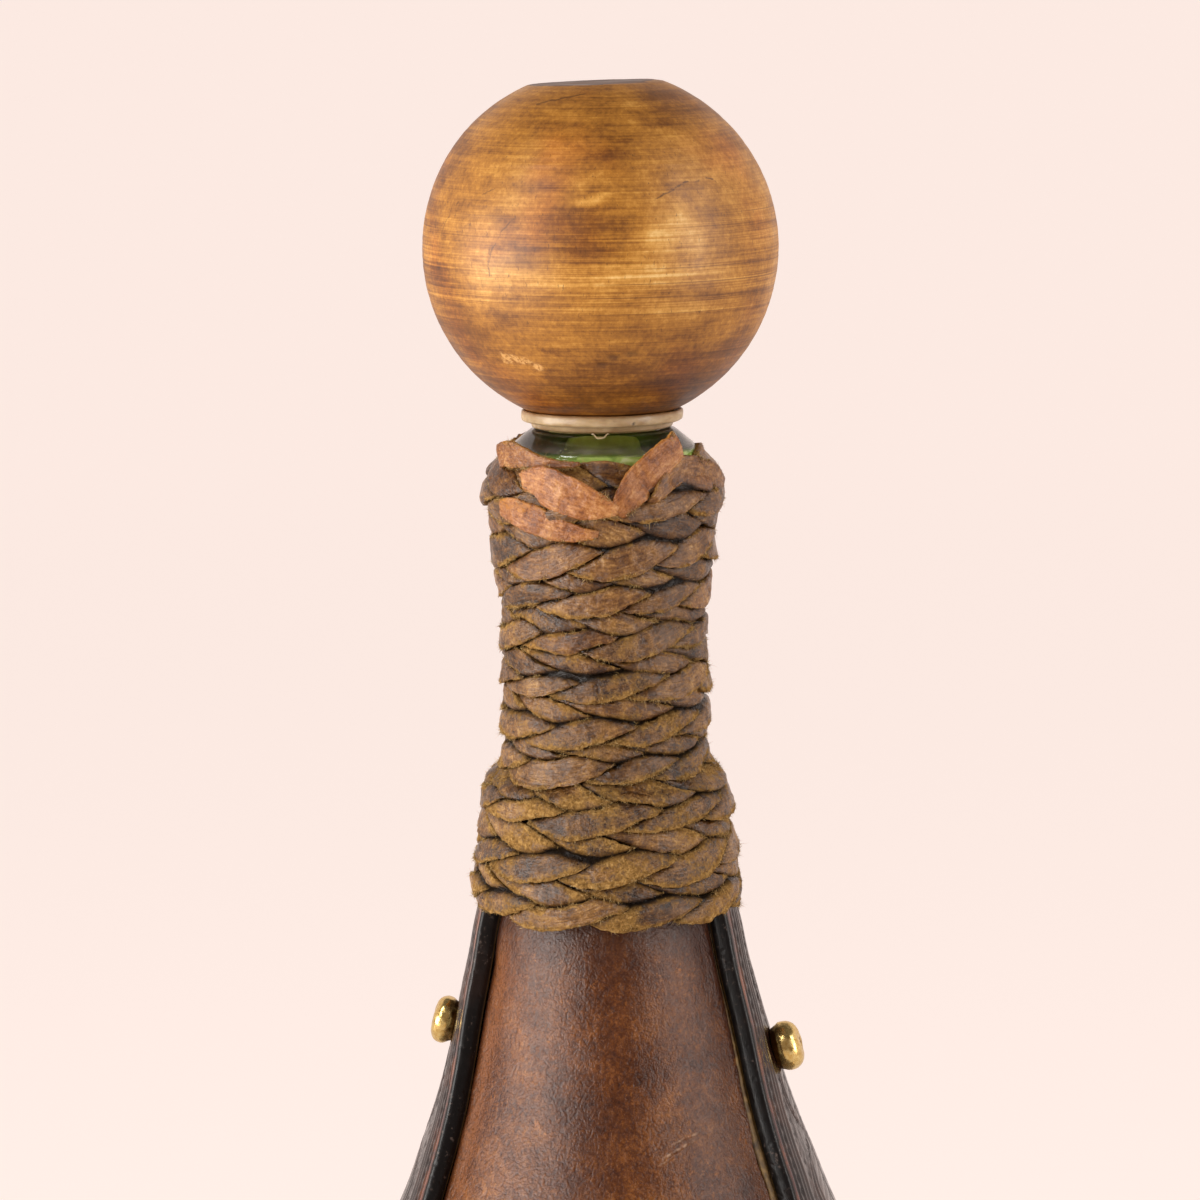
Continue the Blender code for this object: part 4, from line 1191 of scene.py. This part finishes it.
def paste(name, sign, end):
    """The line of dried olive glue and raw leather in the corner beside a strap."""
    rows, m = 300, 9
    zs = np.linspace(10.0, 202.0, rows)
    inner = glass_r(zs) + (LEATHER_GAP + COVER_T) * lean(zs)
    half = strap_half(zs)
    # the front edge of each strap faces the front, the other faces the back
    side = sign * PI / 2 - end * sign * half
    grow = 1 - step01(zs, 156, 200)
    bead = (0.10 + 1.10 * grow * (sign * end > 0) + 0.15 * grow * (sign * end < 0)) * (1 + 0.35 * line_noise(zs / 5, 81) + 0.2 * line_noise(zs / 1.7, 82))
    b = np.linspace(0, 2 * PI, m, endpoint=False)
    rows_p = []
    for i in range(rows):
        across = bead[i] * (np.cos(b) * 1.0 + 0.55)
        up = inner[i] + 0.10 + 0.30 * bead[i] * np.sin(b) + 0.12
        ang = side[i] - sign * end * across / inner[i]
        rows_p.append(np.stack([up * np.sin(ang) + drift(zs[i]), -up * np.cos(ang), np.full(m, zs[i])], 1))
    pts = np.concatenate(rows_p)
    pts += 0.06 * np.stack([noise(pts * 1.1, 83), noise(pts * 1.1, 84), 0 * pts[:, 0]], 1)
    caps = [np.array([list(range(m))[::-1]]), np.array([[(rows - 1) * m + k for k in range(m)]])]
    make(name, pts, [grid_quads(rows, m, wrap_cols=True)] + caps, GLUE, "bottle", ())


def glue_material():
    t = Tree("raw_edge_fine")
    n = t.noise(500, 4, 0.65)
    colour = t.ramp(n, [(0.3, srgb(52, 36, 20)), (0.5, srgb(96, 72, 36)), (0.72, srgb(140, 110, 60))])
    t.surface(Base_Color=colour, Roughness=0.6, Normal=t.bump(n, 0.5, 0.0003))
    return t.mat


GLUE = glue_material()


def base():
    prof = [(0.0, 0.0), (20.0, 0.0), (40.0, 0.0), (50.0, 0.0), (51.8, 0.0), (52.4, 0.25), (52.75, 0.8), (52.8, 1.5), (52.7, 2.2),
            (52.3, 2.75), (51.7, 3.0), (40.0, 3.0), (20.0, 3.0), (0.0, 3.0)]
    pts, faces = lathe(dense(prof, 1.2), 240)
    x, y, z = pts.T
    r = np.hypot(x, y)
    # skiving lines and wear underneath; the rim that it stands on stays flat
    worn = step01(r, 6, 12) * (1 - step01(r, 46, 49)) * (z < 0.1)
    pts[:, 2] += worn * (0.10 + 0.06 * noise(pts / 3, 91))
    rim = step01(r, 51.5, 52.6)
    pts[:, :2] *= (1 + rim * 0.0016 * noise(pts / 2.4, 92))[:, None]
    paint = np.clip(step01(r, 51.2, 52.2), 0, 1) * 0.9
    make("base_disc_cut", pts, faces, BASE, "bottle", ["base_disc"], {"paint": paint})


def stud(name, node, sign, height):
    """A domed brass stud with a flat, dimpled crown and a turned collar."""
    slope = float(glass_slope(height))
    n = Vector((1, 0, -slope)).normalized()
    inner = float(glass_r(height)) + (LEATHER_GAP + COVER_T + STRAP_GAP) * math.sqrt(1 + slope**2)
    # head profile from the foot to the crown; the shank is one with it
    side = [(0.0, -SHANK_L + 0.35), (SHANK_R * 0.8, -SHANK_L + 0.35), (SHANK_R, -SHANK_L + 0.6), (SHANK_R, -0.35), (3.35, -0.35), (3.6, -0.2),
            (3.75, 0.2), (4.05, 0.75), (4.32, 1.3), (4.42, 1.9), (4.40, 2.5), (4.26, 3.05), (3.98, 3.55), (3.55, 4.0), (3.0, 4.32),
            (2.4, 4.5), (1.9, 4.57), (1.45, 4.56), (1.1, 4.45), (0.75, 4.25), (0.4, 4.12), (0.0, 4.08)]
    wide, tall = (0.93, 0.80) if sign < 0 else (0.97, 0.98)
    side = [(a * wide if b > -0.4 and a > SHANK_R else a, b * tall if b > 0 else b) for a, b in side]
    pts, faces = lathe(dense(rounded(side, 0.0), 0.35), 72)
    x, y, z = pts.T
    r = np.hypot(x, y)
    seed = sum(map(ord, name))
    head = (z > 0.5)
    dent = 0.10 * noise(pts / 1.6, seed) + 0.05 * noise(pts / 0.7, seed + 1)
    way = pts - np.array([0, 0, 0.8])
    way /= np.maximum(np.linalg.norm(way, axis=1), 1e-6)[:, None]
    pts = pts + way * (dent * head)[:, None]
    # tarnish at the foot and in the dimple; the left studs get less of it, painted light where the left lamp falls
    grime_and_painted_light = np.clip(1 - step01(z, 0.2, 1.3) + 0.8 * (r < 1.1) * (z > 3.9 * tall), 0, 1) - 0.30 * (sign < 0)
    # stand it on the strap
    thick = STRAP_T
    foot = Vector((inner, 0, height)) + Vector((n.x, 0, n.z)) * thick
    turn = Matrix.Rotation(math.atan2(n.x, n.z), 3, "Y")
    m = np.array(turn)
    pts = pts @ m.T + np.array([foot.x, 0, foot.z])
    if sign < 0:
        pts[:, 0] *= -1
        faces = [f[:, ::-1] for f in faces]
    pts[:, 0] += float(drift(np.array([height]))[0])
    make(name, pts, faces, BRASS, "bottle", [node], {"grime_and_painted_light": grime_and_painted_light})


# ------------------------------------------------------------------------ braid
EDGES_Z = np.array([209.3, 216.8, 224.6, 232.2, 239.4, 246.7, 253.9, 261.1, 268.4, 277.0, 285.3, 293.6])
RING_Z = 0.5 * (EDGES_Z[1:] + EDGES_Z[:-1])  # the middle of each turn of the plait, at the sides
RING_SIZE = np.diff(EDGES_Z) / 7.8
STRAND_L = 40.0  # length of one weave of a strand, along the plait
SWING = 2.85  # how far a strand swings to each side of the plait's middle
LACE_W = 4.35
LACE_T = 1.45
FRONT_PHASE = (1.86, 0.55, 1.25, 0.20, 1.60, 0.70, 1.90, 1.05, 0.30, 1.32)
# height of a strand's face by its distance from the edge of the strand that crosses over it
DIP = smooth([(-3.2, -1.70), (-1.6, -1.62), (-0.6, -1.36), (0.0, -0.86), (0.25, -0.42), (0.6, -0.18), (1.4, -0.05), (3.2, 0.0)])
# and by its distance from the turn above, which laps over it
LAP = smooth([(-4.0, -1.5), (-2.0, -1.25), (-0.5, -0.95), (0.0, -0.55), (0.3, -0.24), (0.8, -0.07), (2.0, 0.0)])
WARM = (  # (angle in degrees, height, reach in degrees, reach in mm, strength) of the orange leaves
    (-8, 268.4, 16, 2.2, 0.8), (62, 279.0, 14, 3.0, 0.35), (20, 276.0, 12, 2.0, 0.5), (60, 271.5, 10, 2.0, 0.6),
    (118, 277.0, 18, 4.0, 0.8), (196, 280.0, 20, 4.0, 0.8), (160, 268.0, 20, 3.0, 0.6), (-112, 271.0, 20, 4.0, 0.7),
)


def sag(angle):
    """The rings hang lower at the front."""
    return -0.4 - 2.6 * (0.5 + 0.5 * np.cos(angle)) ** 0.85


def ring_height(turns):
    k = np.floor(turns + 0.4).astype(int)
    w = step01(turns - k, 0.40, 0.60)
    k = np.clip(k, 0, len(RING_Z) - 2)
    return RING_Z[k] * (1 - w) + RING_Z[k + 1] * w


def ring_size(turns):
    k = np.floor(turns + 0.4).astype(int)
    w = step01(turns - k, 0.40, 0.60)
    k = np.clip(k, 0, len(RING_SIZE) - 2)
    return RING_SIZE[k] * (1 - w) + RING_SIZE[k + 1] * w


def plait_phase(turns):
    marks = [0.0]
    want = [FRONT_PHASE[0]]
    for k in range(1, len(FRONT_PHASE)):
        mid_r = float(braid_out(0.5 * (RING_Z[k] + RING_Z[k - 1]))) - 1.6
        step = 2 * PI * (2 * PI * mid_r) / STRAND_L
        goal = want[-1] + step
        third = 2 * PI / 3
        goal = FRONT_PHASE[k] + third * round((goal - FRONT_PHASE[k]) / third)
        want.append(goal)
        marks.append(float(k))
    slope0 = (want[1] - want[0])
    slope1 = (want[-1] - want[-2])
    xs = np.array([-1.0] + marks + [float(len(marks))])
    ys = np.array([want[0] - slope0] + want + [want[-1] + slope1])
    return np.interp(turns, xs, ys)


def chance(i, j, seed):
    """A number from 0 to 1 for leaf i of strand j."""
    h = (np.asarray(i, np.int64) * 374761393 + j * 668265263 + seed * 974634777 + 1013904223) & 0xFFFFFFFF
    h = (((h ^ (h >> 13)).astype(np.uint64) * np.uint64(1274126177)) & np.uint64(0xFFFFFFFF)).astype(np.int64)
    h = (((h ^ (h >> 16)).astype(np.uint64) * np.uint64(2246822519)) & np.uint64(0xFFFFFFFF)).astype(np.int64)
    return ((h ^ (h >> 15)) & 0xFFFF) / 65535.0


def by_leaf(place, j, seed):
    """A value from -1 to 1 for each leaf, which changes only where the strand is hidden."""
    i = np.floor(place).astype(np.int64)
    f = place - i
    here, after, before = (2 * chance(i + k, j, seed) - 1 for k in (0, 1, -1))
    return here + 0.5 * step01(f, 0.84, 1.0) * (after - here) + 0.5 * (1 - step01(f, 0.0, 0.16)) * (before - here)


def braid():
    start, stop = -0.44, len(FRONT_PHASE) - 0.58
    rows = 3500
    n = np.linspace(start, stop, rows)
    tops = np.array([-1, -0.96, -0.86, -0.70, -0.52, -0.34, -0.17, 0, 0.17, 0.34, 0.52, 0.70, 0.86, 0.96, 1])
    unders = np.array([0.97, 0.4, -0.4, -0.97])
    m = len(tops) + len(unders)
    angle = 2 * PI * n
    zc = ring_height(n)
    big = ring_size(n)
    mid_r = braid_out(zc) - 1.6
    length = np.concatenate([[0], np.cumsum(np.diff(n) * 2 * PI * 0.5 * (mid_r[1:] + mid_r[:-1]))])
    phase = plait_phase(n)
    # the whole plait wanders up and down and its turns are not pulled up evenly
    zc = zc + 0.7 * noise(np.stack([np.cos(angle) * 1.5, np.sin(angle) * 1.5, zc / 8], 1), 99)
    # ends are tucked in behind
    ends = step01(n, start, start + 0.03) * (1 - step01(n, stop - 0.03, stop))
    runs = []
    for j in range(3):
        ph = phase + 2 * PI * j / 3
        place = (ph - PI / 6) / PI
        v = big * SWING * (1 + 0.15 * by_leaf(place, j, 1)) * np.sin(ph) + 0.46 * by_leaf(place, j, 2) + 0.22 * line_noise(length / 6 + 17 * j, 102)
        tilt = np.arctan(np.gradient(v, length))
        wide = 0.5 * LACE_W * big * (1 + 0.19 * by_leaf(place, j, 3) + 0.08 * line_noise(length / 3.5 + 31 * j, 104))
        wide = wide * (0.35 + 0.65 * ends)
        runs.append((place, v, tilt, wide))
    # the lower outline of the plait, which laps over the turn below
    low = zc + np.min([v - wide / np.cos(tilt) for _, v, tilt, wide in runs], axis=0)
    strands = []
    for j in range(3):
        place, v, tilt, wide = runs[j]
        _, v_over, tilt_over, wide_over = runs[(j + 1) % 3]
        reach_over = wide_over / np.cos(tilt_over)
        part = place - np.floor(place)
        lift = 0.20 * by_leaf(place, j, 4) * np.sin(PI * part) + 0.08 * line_noise(length / 3 + 9 * j, 105) - 1.6 * (1 - ends)
        roll = 0.36 * by_leaf(place, j, 5) + 0.10 * line_noise(length / 5 + 5 * j, 106)
        crown = 0.05 + 0.12 * by_leaf(place, j, 6)
        thin = LACE_T - 0.30 * (1 - step01(zc, 212, 220))
        cols, edge, gaps = [], [], []
        for c in range(m):
            top = c < len(tops)
            u = tops[c] if top else unders[c - len(tops)]
            ragged = 0.0
            if abs(u) > 0.9:
                key = 108 + (u > 0)
                ragged = 0.30 * line_noise(length / 0.8 + 13 * j, key) + 0.40 * line_noise(length / 2.6 + 13 * j, key + 2)
            uu = u * wide + np.sign(u) * ragged
            ds, dz = -np.sin(tilt) * uu, np.cos(tilt) * uu
            a = angle + ds / mid_r
            z_ref = zc + v + dz
            at = length + ds
            gap = 0.93 * (np.abs(v + dz - np.interp(at, length, v_over)) - np.interp(at, length, reach_over))
            above = np.where(a / (2 * PI) + 1 > stop - 0.02, 9.0, np.interp(a / (2 * PI) + 1, n, low) - z_ref)
            h = DIP(gap) + LAP(above) + lift - crown * abs(u) ** 2 - 0.14 * abs(u) ** 14 + roll * u
            # each turn leans out a little over the one below it
            h = np.maximum(h - 0.08 * (v + dz), -2.3)
            if not top:
                h = h - thin * (1 - 0.15 * abs(u))
            cols.append(np.stack([a, z_ref + sag(a), braid_out(z_ref) - 0.05 + h, z_ref], -1))
            edge.append(np.full(rows, abs(u) if top else 1.15))
            gaps.append(np.clip(np.minimum(gap, above), -1.5, 3.0))
        grid = np.stack(cols, 1)
        a, z, r, z_ref = np.moveaxis(grid, -1, 0)
        edge, gap = np.stack(edge, 1), np.stack(gaps, 1)
        own = np.stack([r * np.sin(a), -r * np.cos(a), z], -1).reshape(-1, 3) + 100 * j
        dent = 0.13 * noise(own / 2.6, 110) + 0.12 * noise(own / 1.15, 111) + 0.075 * noise(own / 0.62, 113)
        topmask = np.zeros(m)
        topmask[: len(tops)] = 1
        r = r + dent.reshape(r.shape) * topmask
        pts = np.stack([r * np.sin(a), -r * np.cos(a), z], -1)
        leaf = np.floor(place).astype(np.int64)
        each = chance(leaf, j, 7)
        # where each leaf lies, for the few orange ones
        warm = np.zeros(rows)
        for i in np.unique(leaf):
            mine = (leaf == i) & (part > 0.2) & (part < 0.8)
            if not mine.any():
                continue
            where = np.degrees(angle[mine].mean())
            high = (zc + v + sag(angle))[mine].mean()
            value = 0.14 * max(0.0, chance(i, j, 8) - 0.6) / 0.4 * float(step01(np.array(high), 228, 262))
            for a0, z0, da, dz0, strength in WARM:
                off = (where - a0 + 180) % 360 - 180
                value = max(value, strength * math.exp(-((off / da) ** 2) - ((high - z0) / dz0) ** 2))
            warm[leaf == i] = min(1.0, 1.35 * value)
        # ochre suede: in patches, at the cut edges, more of it lower down
        lower = 1 - step01((zc - 206) / 79, 0.15, 0.95)
        patch = layers(own / 4.2, 3, 140).reshape(r.shape)
        frayed = []
        for c in range(m):
            last = len(tops) - 1 if c >= len(tops) / 2 else 0
            frayed.append(np.clip(line_noise(length / 2.6 + 50 * j + last, 120) + 0.6 * line_noise(length / 0.7 + 50 * j + last, 121) + 0.25, 0, 1))
        frayed = np.stack(frayed, 1) * np.clip(edge, 0, 1) ** 4
        suede = 0.30 * patch + 1.25 * frayed + 0.34 * edge**3 + (0.38 * lower + 0.26 * (chance(leaf, j, 9) - 0.5) + 0.02)[:, None]
        quads = grid_quads(rows, m, wrap_cols=True)
        caps = [np.array([list(range(m))]), np.array([[(rows - 1) * m + k for k in range(m)][::-1]])]
        across = np.concatenate([tops, unders])[None, :] * wide[:, None]
        along = np.repeat(length[:, None], m, 1)
        spread = lambda x: np.repeat(x[:, None], m, 1).ravel()
        make(f"lace_{j + 1}_woven", pts.reshape(-1, 3), [quads] + caps, LACE, "bottle", [f"lace_{j + 1}"], {
            "edge": edge.ravel(), "gap": gap.ravel(), "along": along.ravel(), "warm": spread(warm),
            "each": spread(each), "across": across.ravel(), "suede": suede.ravel(),
        })
        strands.append({"pts": pts, "gap": gap, "angle": a, "length": length, "suede": suede, "lower": lower})
    return strands


def strip(name, places, lift, warm, each, worn, seed, square=False, tuck=(1, 1)):
    """A lace end laid over the plait, through (angle in degrees, height, half width)."""
    rows = 150
    s = np.linspace(0, 1, rows)
    marks = np.linspace(0, 1, len(places))
    shape = [smooth(list(zip(marks, [p[k] for p in places])))(s) for k in range(3)]
    angle, mid_z, half = np.radians(shape[0]), shape[1], shape[2]
    rad = 20.4
    half = half * (1 + 0.05 * line_noise(s * 7, seed)) + 0.02
    if square:
        half = half * np.clip((1 - s) / 0.012, 0.25, 1) ** 0.4
    ref = mid_z - sag(angle)
    out = np.maximum(braid_out(ref), 19.2) + lift
    out = out - tuck[0] * 1.2 * (1 - step01(s, 0.0, 0.10)) - tuck[1] * 1.2 * step01(s, 0.91, 1.0)
    tilt = np.arctan(np.gradient(mid_z, rad * angle))
    tops = np.linspace(-1, 1, 17)
    unders = np.array([0.97, 0.4, -0.4, -0.97])
    m = len(tops) + len(unders)
    cols, edge, frayed = [], [], []
    for c in range(m):
        top = c < len(tops)
        u = tops[c] if top else unders[c - len(tops)]
        uu = u * half
        if abs(u) > 0.9:
            uu = uu + np.sign(u) * (0.16 * line_noise(s * 40, seed + 1 + (u > 0)) + 0.16 * line_noise(s * 13, seed + 3 + (u > 0)))
        a = angle - np.sin(tilt) * uu / rad
        z = mid_z + np.cos(tilt) * uu
        r = out - 0.05 * u * u - 0.12 * abs(u) ** 12 + 0.12 * u - (0.0 if top else 0.85)
        cols.append(np.stack([a, z, r], -1))
        edge.append(np.full(rows, abs(u) if top else 1.15))
        frayed.append(np.clip(line_noise(s * 11 + (u > 0) * 9, seed + 5) + 0.5 * line_noise(s * 31, seed + 6) + 0.1, 0, 1) * min(abs(u), 1) ** 5)
    a, z, r = np.moveaxis(np.stack(cols, 1), -1, 0)
    own = np.stack([r * np.sin(a), -r * np.cos(a), z], -1).reshape(-1, 3)
    r = r + (0.13 * noise(own / 2.6, seed + 7) + 0.07 * noise(own / 1.0, seed + 8) + 0.035 * noise(own / 0.5, seed + 9)).reshape(r.shape)
    grid = np.stack([r * np.sin(a), -r * np.cos(a), z], -1)
    pts = grid.reshape(-1, 3)
    edge = np.stack(edge, 1)
    caps = [np.array([list(range(m))]), np.array([[(rows - 1) * m + k for k in range(m)][::-1]])]
    across = (np.concatenate([tops, unders])[None, :] * half[:, None]).ravel()
    length = np.concatenate([[0], np.cumsum(np.linalg.norm(np.diff(grid[:, 8], axis=0), axis=1))])
    along = np.repeat(length[:, None] + 7 * seed, m, 1).ravel()
    full = np.ones(len(pts))
    suede = (0.26 * layers(pts / 3.0, 3, seed + 10)).reshape(edge.shape) + 0.85 * np.stack(frayed, 1) + worn
    make(name, pts, [grid_quads(rows, m, wrap_cols=True)] + caps, LACE, "bottle", (), {
        "edge": edge.ravel(), "gap": 3 * full, "along": along, "warm": warm * full, "each": each * full, "across": across,
        "suede": suede.ravel(),
    })
    gap = np.where((s > 0.10) & (s < 0.97), 3.0, -1.0)[:, None] * np.ones(m)
    return {"pts": grid, "gap": gap, "angle": a, "length": length, "suede": suede, "lower": np.full(rows, 0.45)}


def loose_ends():
    """Lace ends laid over the top turns of the plait, at the front and at the back."""
    return [
        strip("lace_1_end_c", [(-57.0, 275.7, 0.6), (-43.1, 275.1, 2.2), (-31.4, 274.0, 2.5), (-20.2, 272.6, 2.1), (-8.2, 271.8, 1.4), (3.5, 271.5, 0.4)], 0.62, 0.95, 0.50, 0.26, 160),
        strip("lace_2_end_b", [(-68.0, 282.6, 1.3), (-51.1, 284.2, 2.3), (-39.0, 283.9, 1.7), (-29.2, 283.4, 1.1), (-16.2, 283.1, 0.6), (-8.1, 283.2, 0.3)], 0.30, 0.62, 0.42, 0.10, 200),
        strip("lace_1_end_b", [(-43.5, 280.4, 0.8), (-33.5, 280.2, 2.3), (-25.1, 279.7, 3.3), (-13.5, 278.3, 3.4), (-0.8, 276.7, 2.6), (7.1, 276.0, 1.5), (13.8, 275.2, 0.4)], 0.84, 1.0, 0.56, -0.04, 180),
        strip("lace_1_end", [(8.5, 274.4, 1.2), (14.5, 277.1, 2.1), (21.5, 279.8, 2.8), (30.3, 282.5, 2.8), (39.4, 284.8, 2.6), (46.0, 286.2, 2.4)], 0.84, 0.92, 0.36, -0.02, 150, True, (1, 0.35)),
        strip("lace_3_end_b", [(26.9, 276.2, 0.5), (34.9, 279.0, 1.4), (49.9, 281.6, 2.4), (64.3, 280.9, 2.3), (80.0, 278.9, 1.6), (92.0, 277.4, 0.4)], 0.34, 0.25, 0.50, 0.16, 220),
        strip("lace_2_end", [(150.0, 283.0, 0.5), (164.0, 284.6, 2.0), (180.0, 285.6, 2.4), (195.0, 286.6, 2.2), (206.0, 288.2, 2.0)], 0.45, 0.60, 0.40, 0.05, 240, True, (1, 0.35)),
    ]


def fluff(strands):
    """Loose fibres: tufts on the cut edges of the laces, short nap on the suede."""
    rng = np.random.default_rng(77)
    starts, ways, sizes = [], [], []
    for j, s in enumerate(strands):
        rows = len(s["length"])
        tops = s["pts"].shape[1] - 4
        per_mm = s["length"][-1] / 1100.0
        for side in (0, tops - 1):
            inward = 3 if side == 0 else tops - 4
            picks = np.sort(rng.integers(2, rows - 2, int(46000 * per_mm)))
            run = s["length"][picks]
            clump = line_noise(run / 2.6 + 50 * j + side, 120) + 0.6 * line_noise(run / 0.7 + 50 * j + side, 121)
            some = (0.12 + 1.3 * clump) * (0.70 + 0.50 * s["lower"][picks]) + 0.20 * np.clip(s["suede"][picks, side], 0, 1)
            keep = (s["gap"][picks, side] > 0.05) & (rng.random(len(picks)) < some)
            picks, clump = picks[keep], clump[keep]
            k = len(picks)
            base, mid = s["pts"][picks, side], s["pts"][picks, inward]
            out = base - mid
            out /= np.maximum(np.linalg.norm(out, axis=1), 1e-6)[:, None]
            a = s["angle"][picks, side]
            radial = np.stack([np.sin(a), -np.cos(a), 0 * a], 1)
            mix = rng.random(k)[:, None] ** 1.3 * 0.8
            starts.append(base * (1 - mix) + mid * mix - radial * 0.03)
            way = out * (0.1 + 0.6 * rng.random((k, 1))) + radial * (0.05 + 0.30 * rng.random((k, 1))) + 0.75 * rng.standard_normal((k, 3))
            ways.append(way / np.linalg.norm(way, axis=1)[:, None])
            sizes.append(0.22 + 0.42 * rng.random(k) ** 2 + 0.6 * (clump > 0.40) * rng.random(k) ** 2)
        # nap on the faces
        some = int(90000 * per_mm)
        picks = rng.integers(2, rows - 2, some)
        cols = rng.integers(1, tops - 1, some)
        keep = (s["gap"][picks, cols] > 0.1) & (rng.random(some) < 0.55 * np.clip((s["suede"][picks, cols] - 0.50) / 0.35, 0, 1))
        picks, cols = picks[keep], cols[keep]
        k = len(picks)
        a = s["angle"][picks, cols]
        radial = np.stack([np.sin(a), -np.cos(a), 0 * a], 1)
        place = s["pts"][picks, cols] + (s["pts"][picks + 1, cols] - s["pts"][picks, cols]) * rng.random((k, 1))
        place = place + (s["pts"][picks, cols + 1] - s["pts"][picks, cols]) * rng.random((k, 1))
        starts.append(place - radial * 0.04)
        way = radial * (0.12 + 0.35 * rng.random((k, 1))) + 0.7 * rng.standard_normal((k, 3))
        ways.append(way / np.linalg.norm(way, axis=1)[:, None])
        sizes.append(0.12 + 0.26 * rng.random(k))
    start, way, size = np.concatenate(starts), np.concatenate(ways), np.concatenate(sizes)
    count = len(start)
    side1 = np.cross(way, rng.standard_normal((count, 3)))
    side1 /= np.maximum(np.linalg.norm(side1, axis=1), 1e-6)[:, None]
    side2 = np.cross(way, side1)
    bend = side1 * (0.8 * rng.standard_normal(count) * size)[:, None] + side2 * (0.7 * rng.standard_normal(count) * size)[:, None]
    thick = 0.024 + 0.030 * rng.random(count)
    rings = []
    for f, w in ((0.0, 1.0), (0.5, 0.8)):
        mid = start + way * (size * f)[:, None] + bend * f * f
        for k in range(3):
            b = 2 * PI * k / 3
            rings.append(mid + side1 * (thick * w * math.cos(b))[:, None] + side2 * (thick * w * math.sin(b))[:, None])
    rings.append(start + way * size[:, None] + bend)
    pts = np.stack(rings, 1)  # count, 7, 3
    each = np.repeat(rng.random(count)[:, None], 7, 1)
    quads = np.array([[0, 1, 4, 3], [1, 2, 5, 4], [2, 0, 3, 5]])
    tris = np.array([[2, 1, 0], [3, 4, 6], [4, 5, 6], [5, 3, 6]])
    # several pieces, from the bottom up
    order = np.argsort(start[:, 2])
    parts = int(math.ceil(count / 18000))
    for part, ids in enumerate(np.array_split(order, parts)):
        first = np.arange(len(ids))[:, None, None] * 7
        make(f"lace_fluff_{part + 1}", pts[ids].reshape(-1, 3), [(quads[None] + first).reshape(-1, 4), (tris[None] + first).reshape(-1, 3)],
             FIBRE, "bottle", (), {"each": each[ids].ravel()})


stopper()
glass()
cover("front_cover_stretched", "front_cover", 0.0)
cover("back_cover_stretched", "back_cover", PI)
strap("left_strap_tooled", "left_strap", -1)
strap("right_strap_tooled", "right_strap", 1)
paste("right_edge_paste_front", 1, 1)
paste("left_edge_paste_back", -1, -1)
base()
for i, h in enumerate(STUD_Z_LEFT):
    stud(f"stud_left_{i + 1}_head", f"stud_left_{i + 1}", -1, h)
for i, h in enumerate(STUD_Z_RIGHT):
    stud(f"stud_right_{i + 1}_head", f"stud_right_{i + 1}", 1, h)
fluff(braid() + loose_ends())

# the dowel stays as it is, in bare wood
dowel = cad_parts["stopper_dowel"]
for place in dowel.material_slots:
    place.material = BARE
if not dowel.material_slots:
    dowel.data.materials.append(BARE)
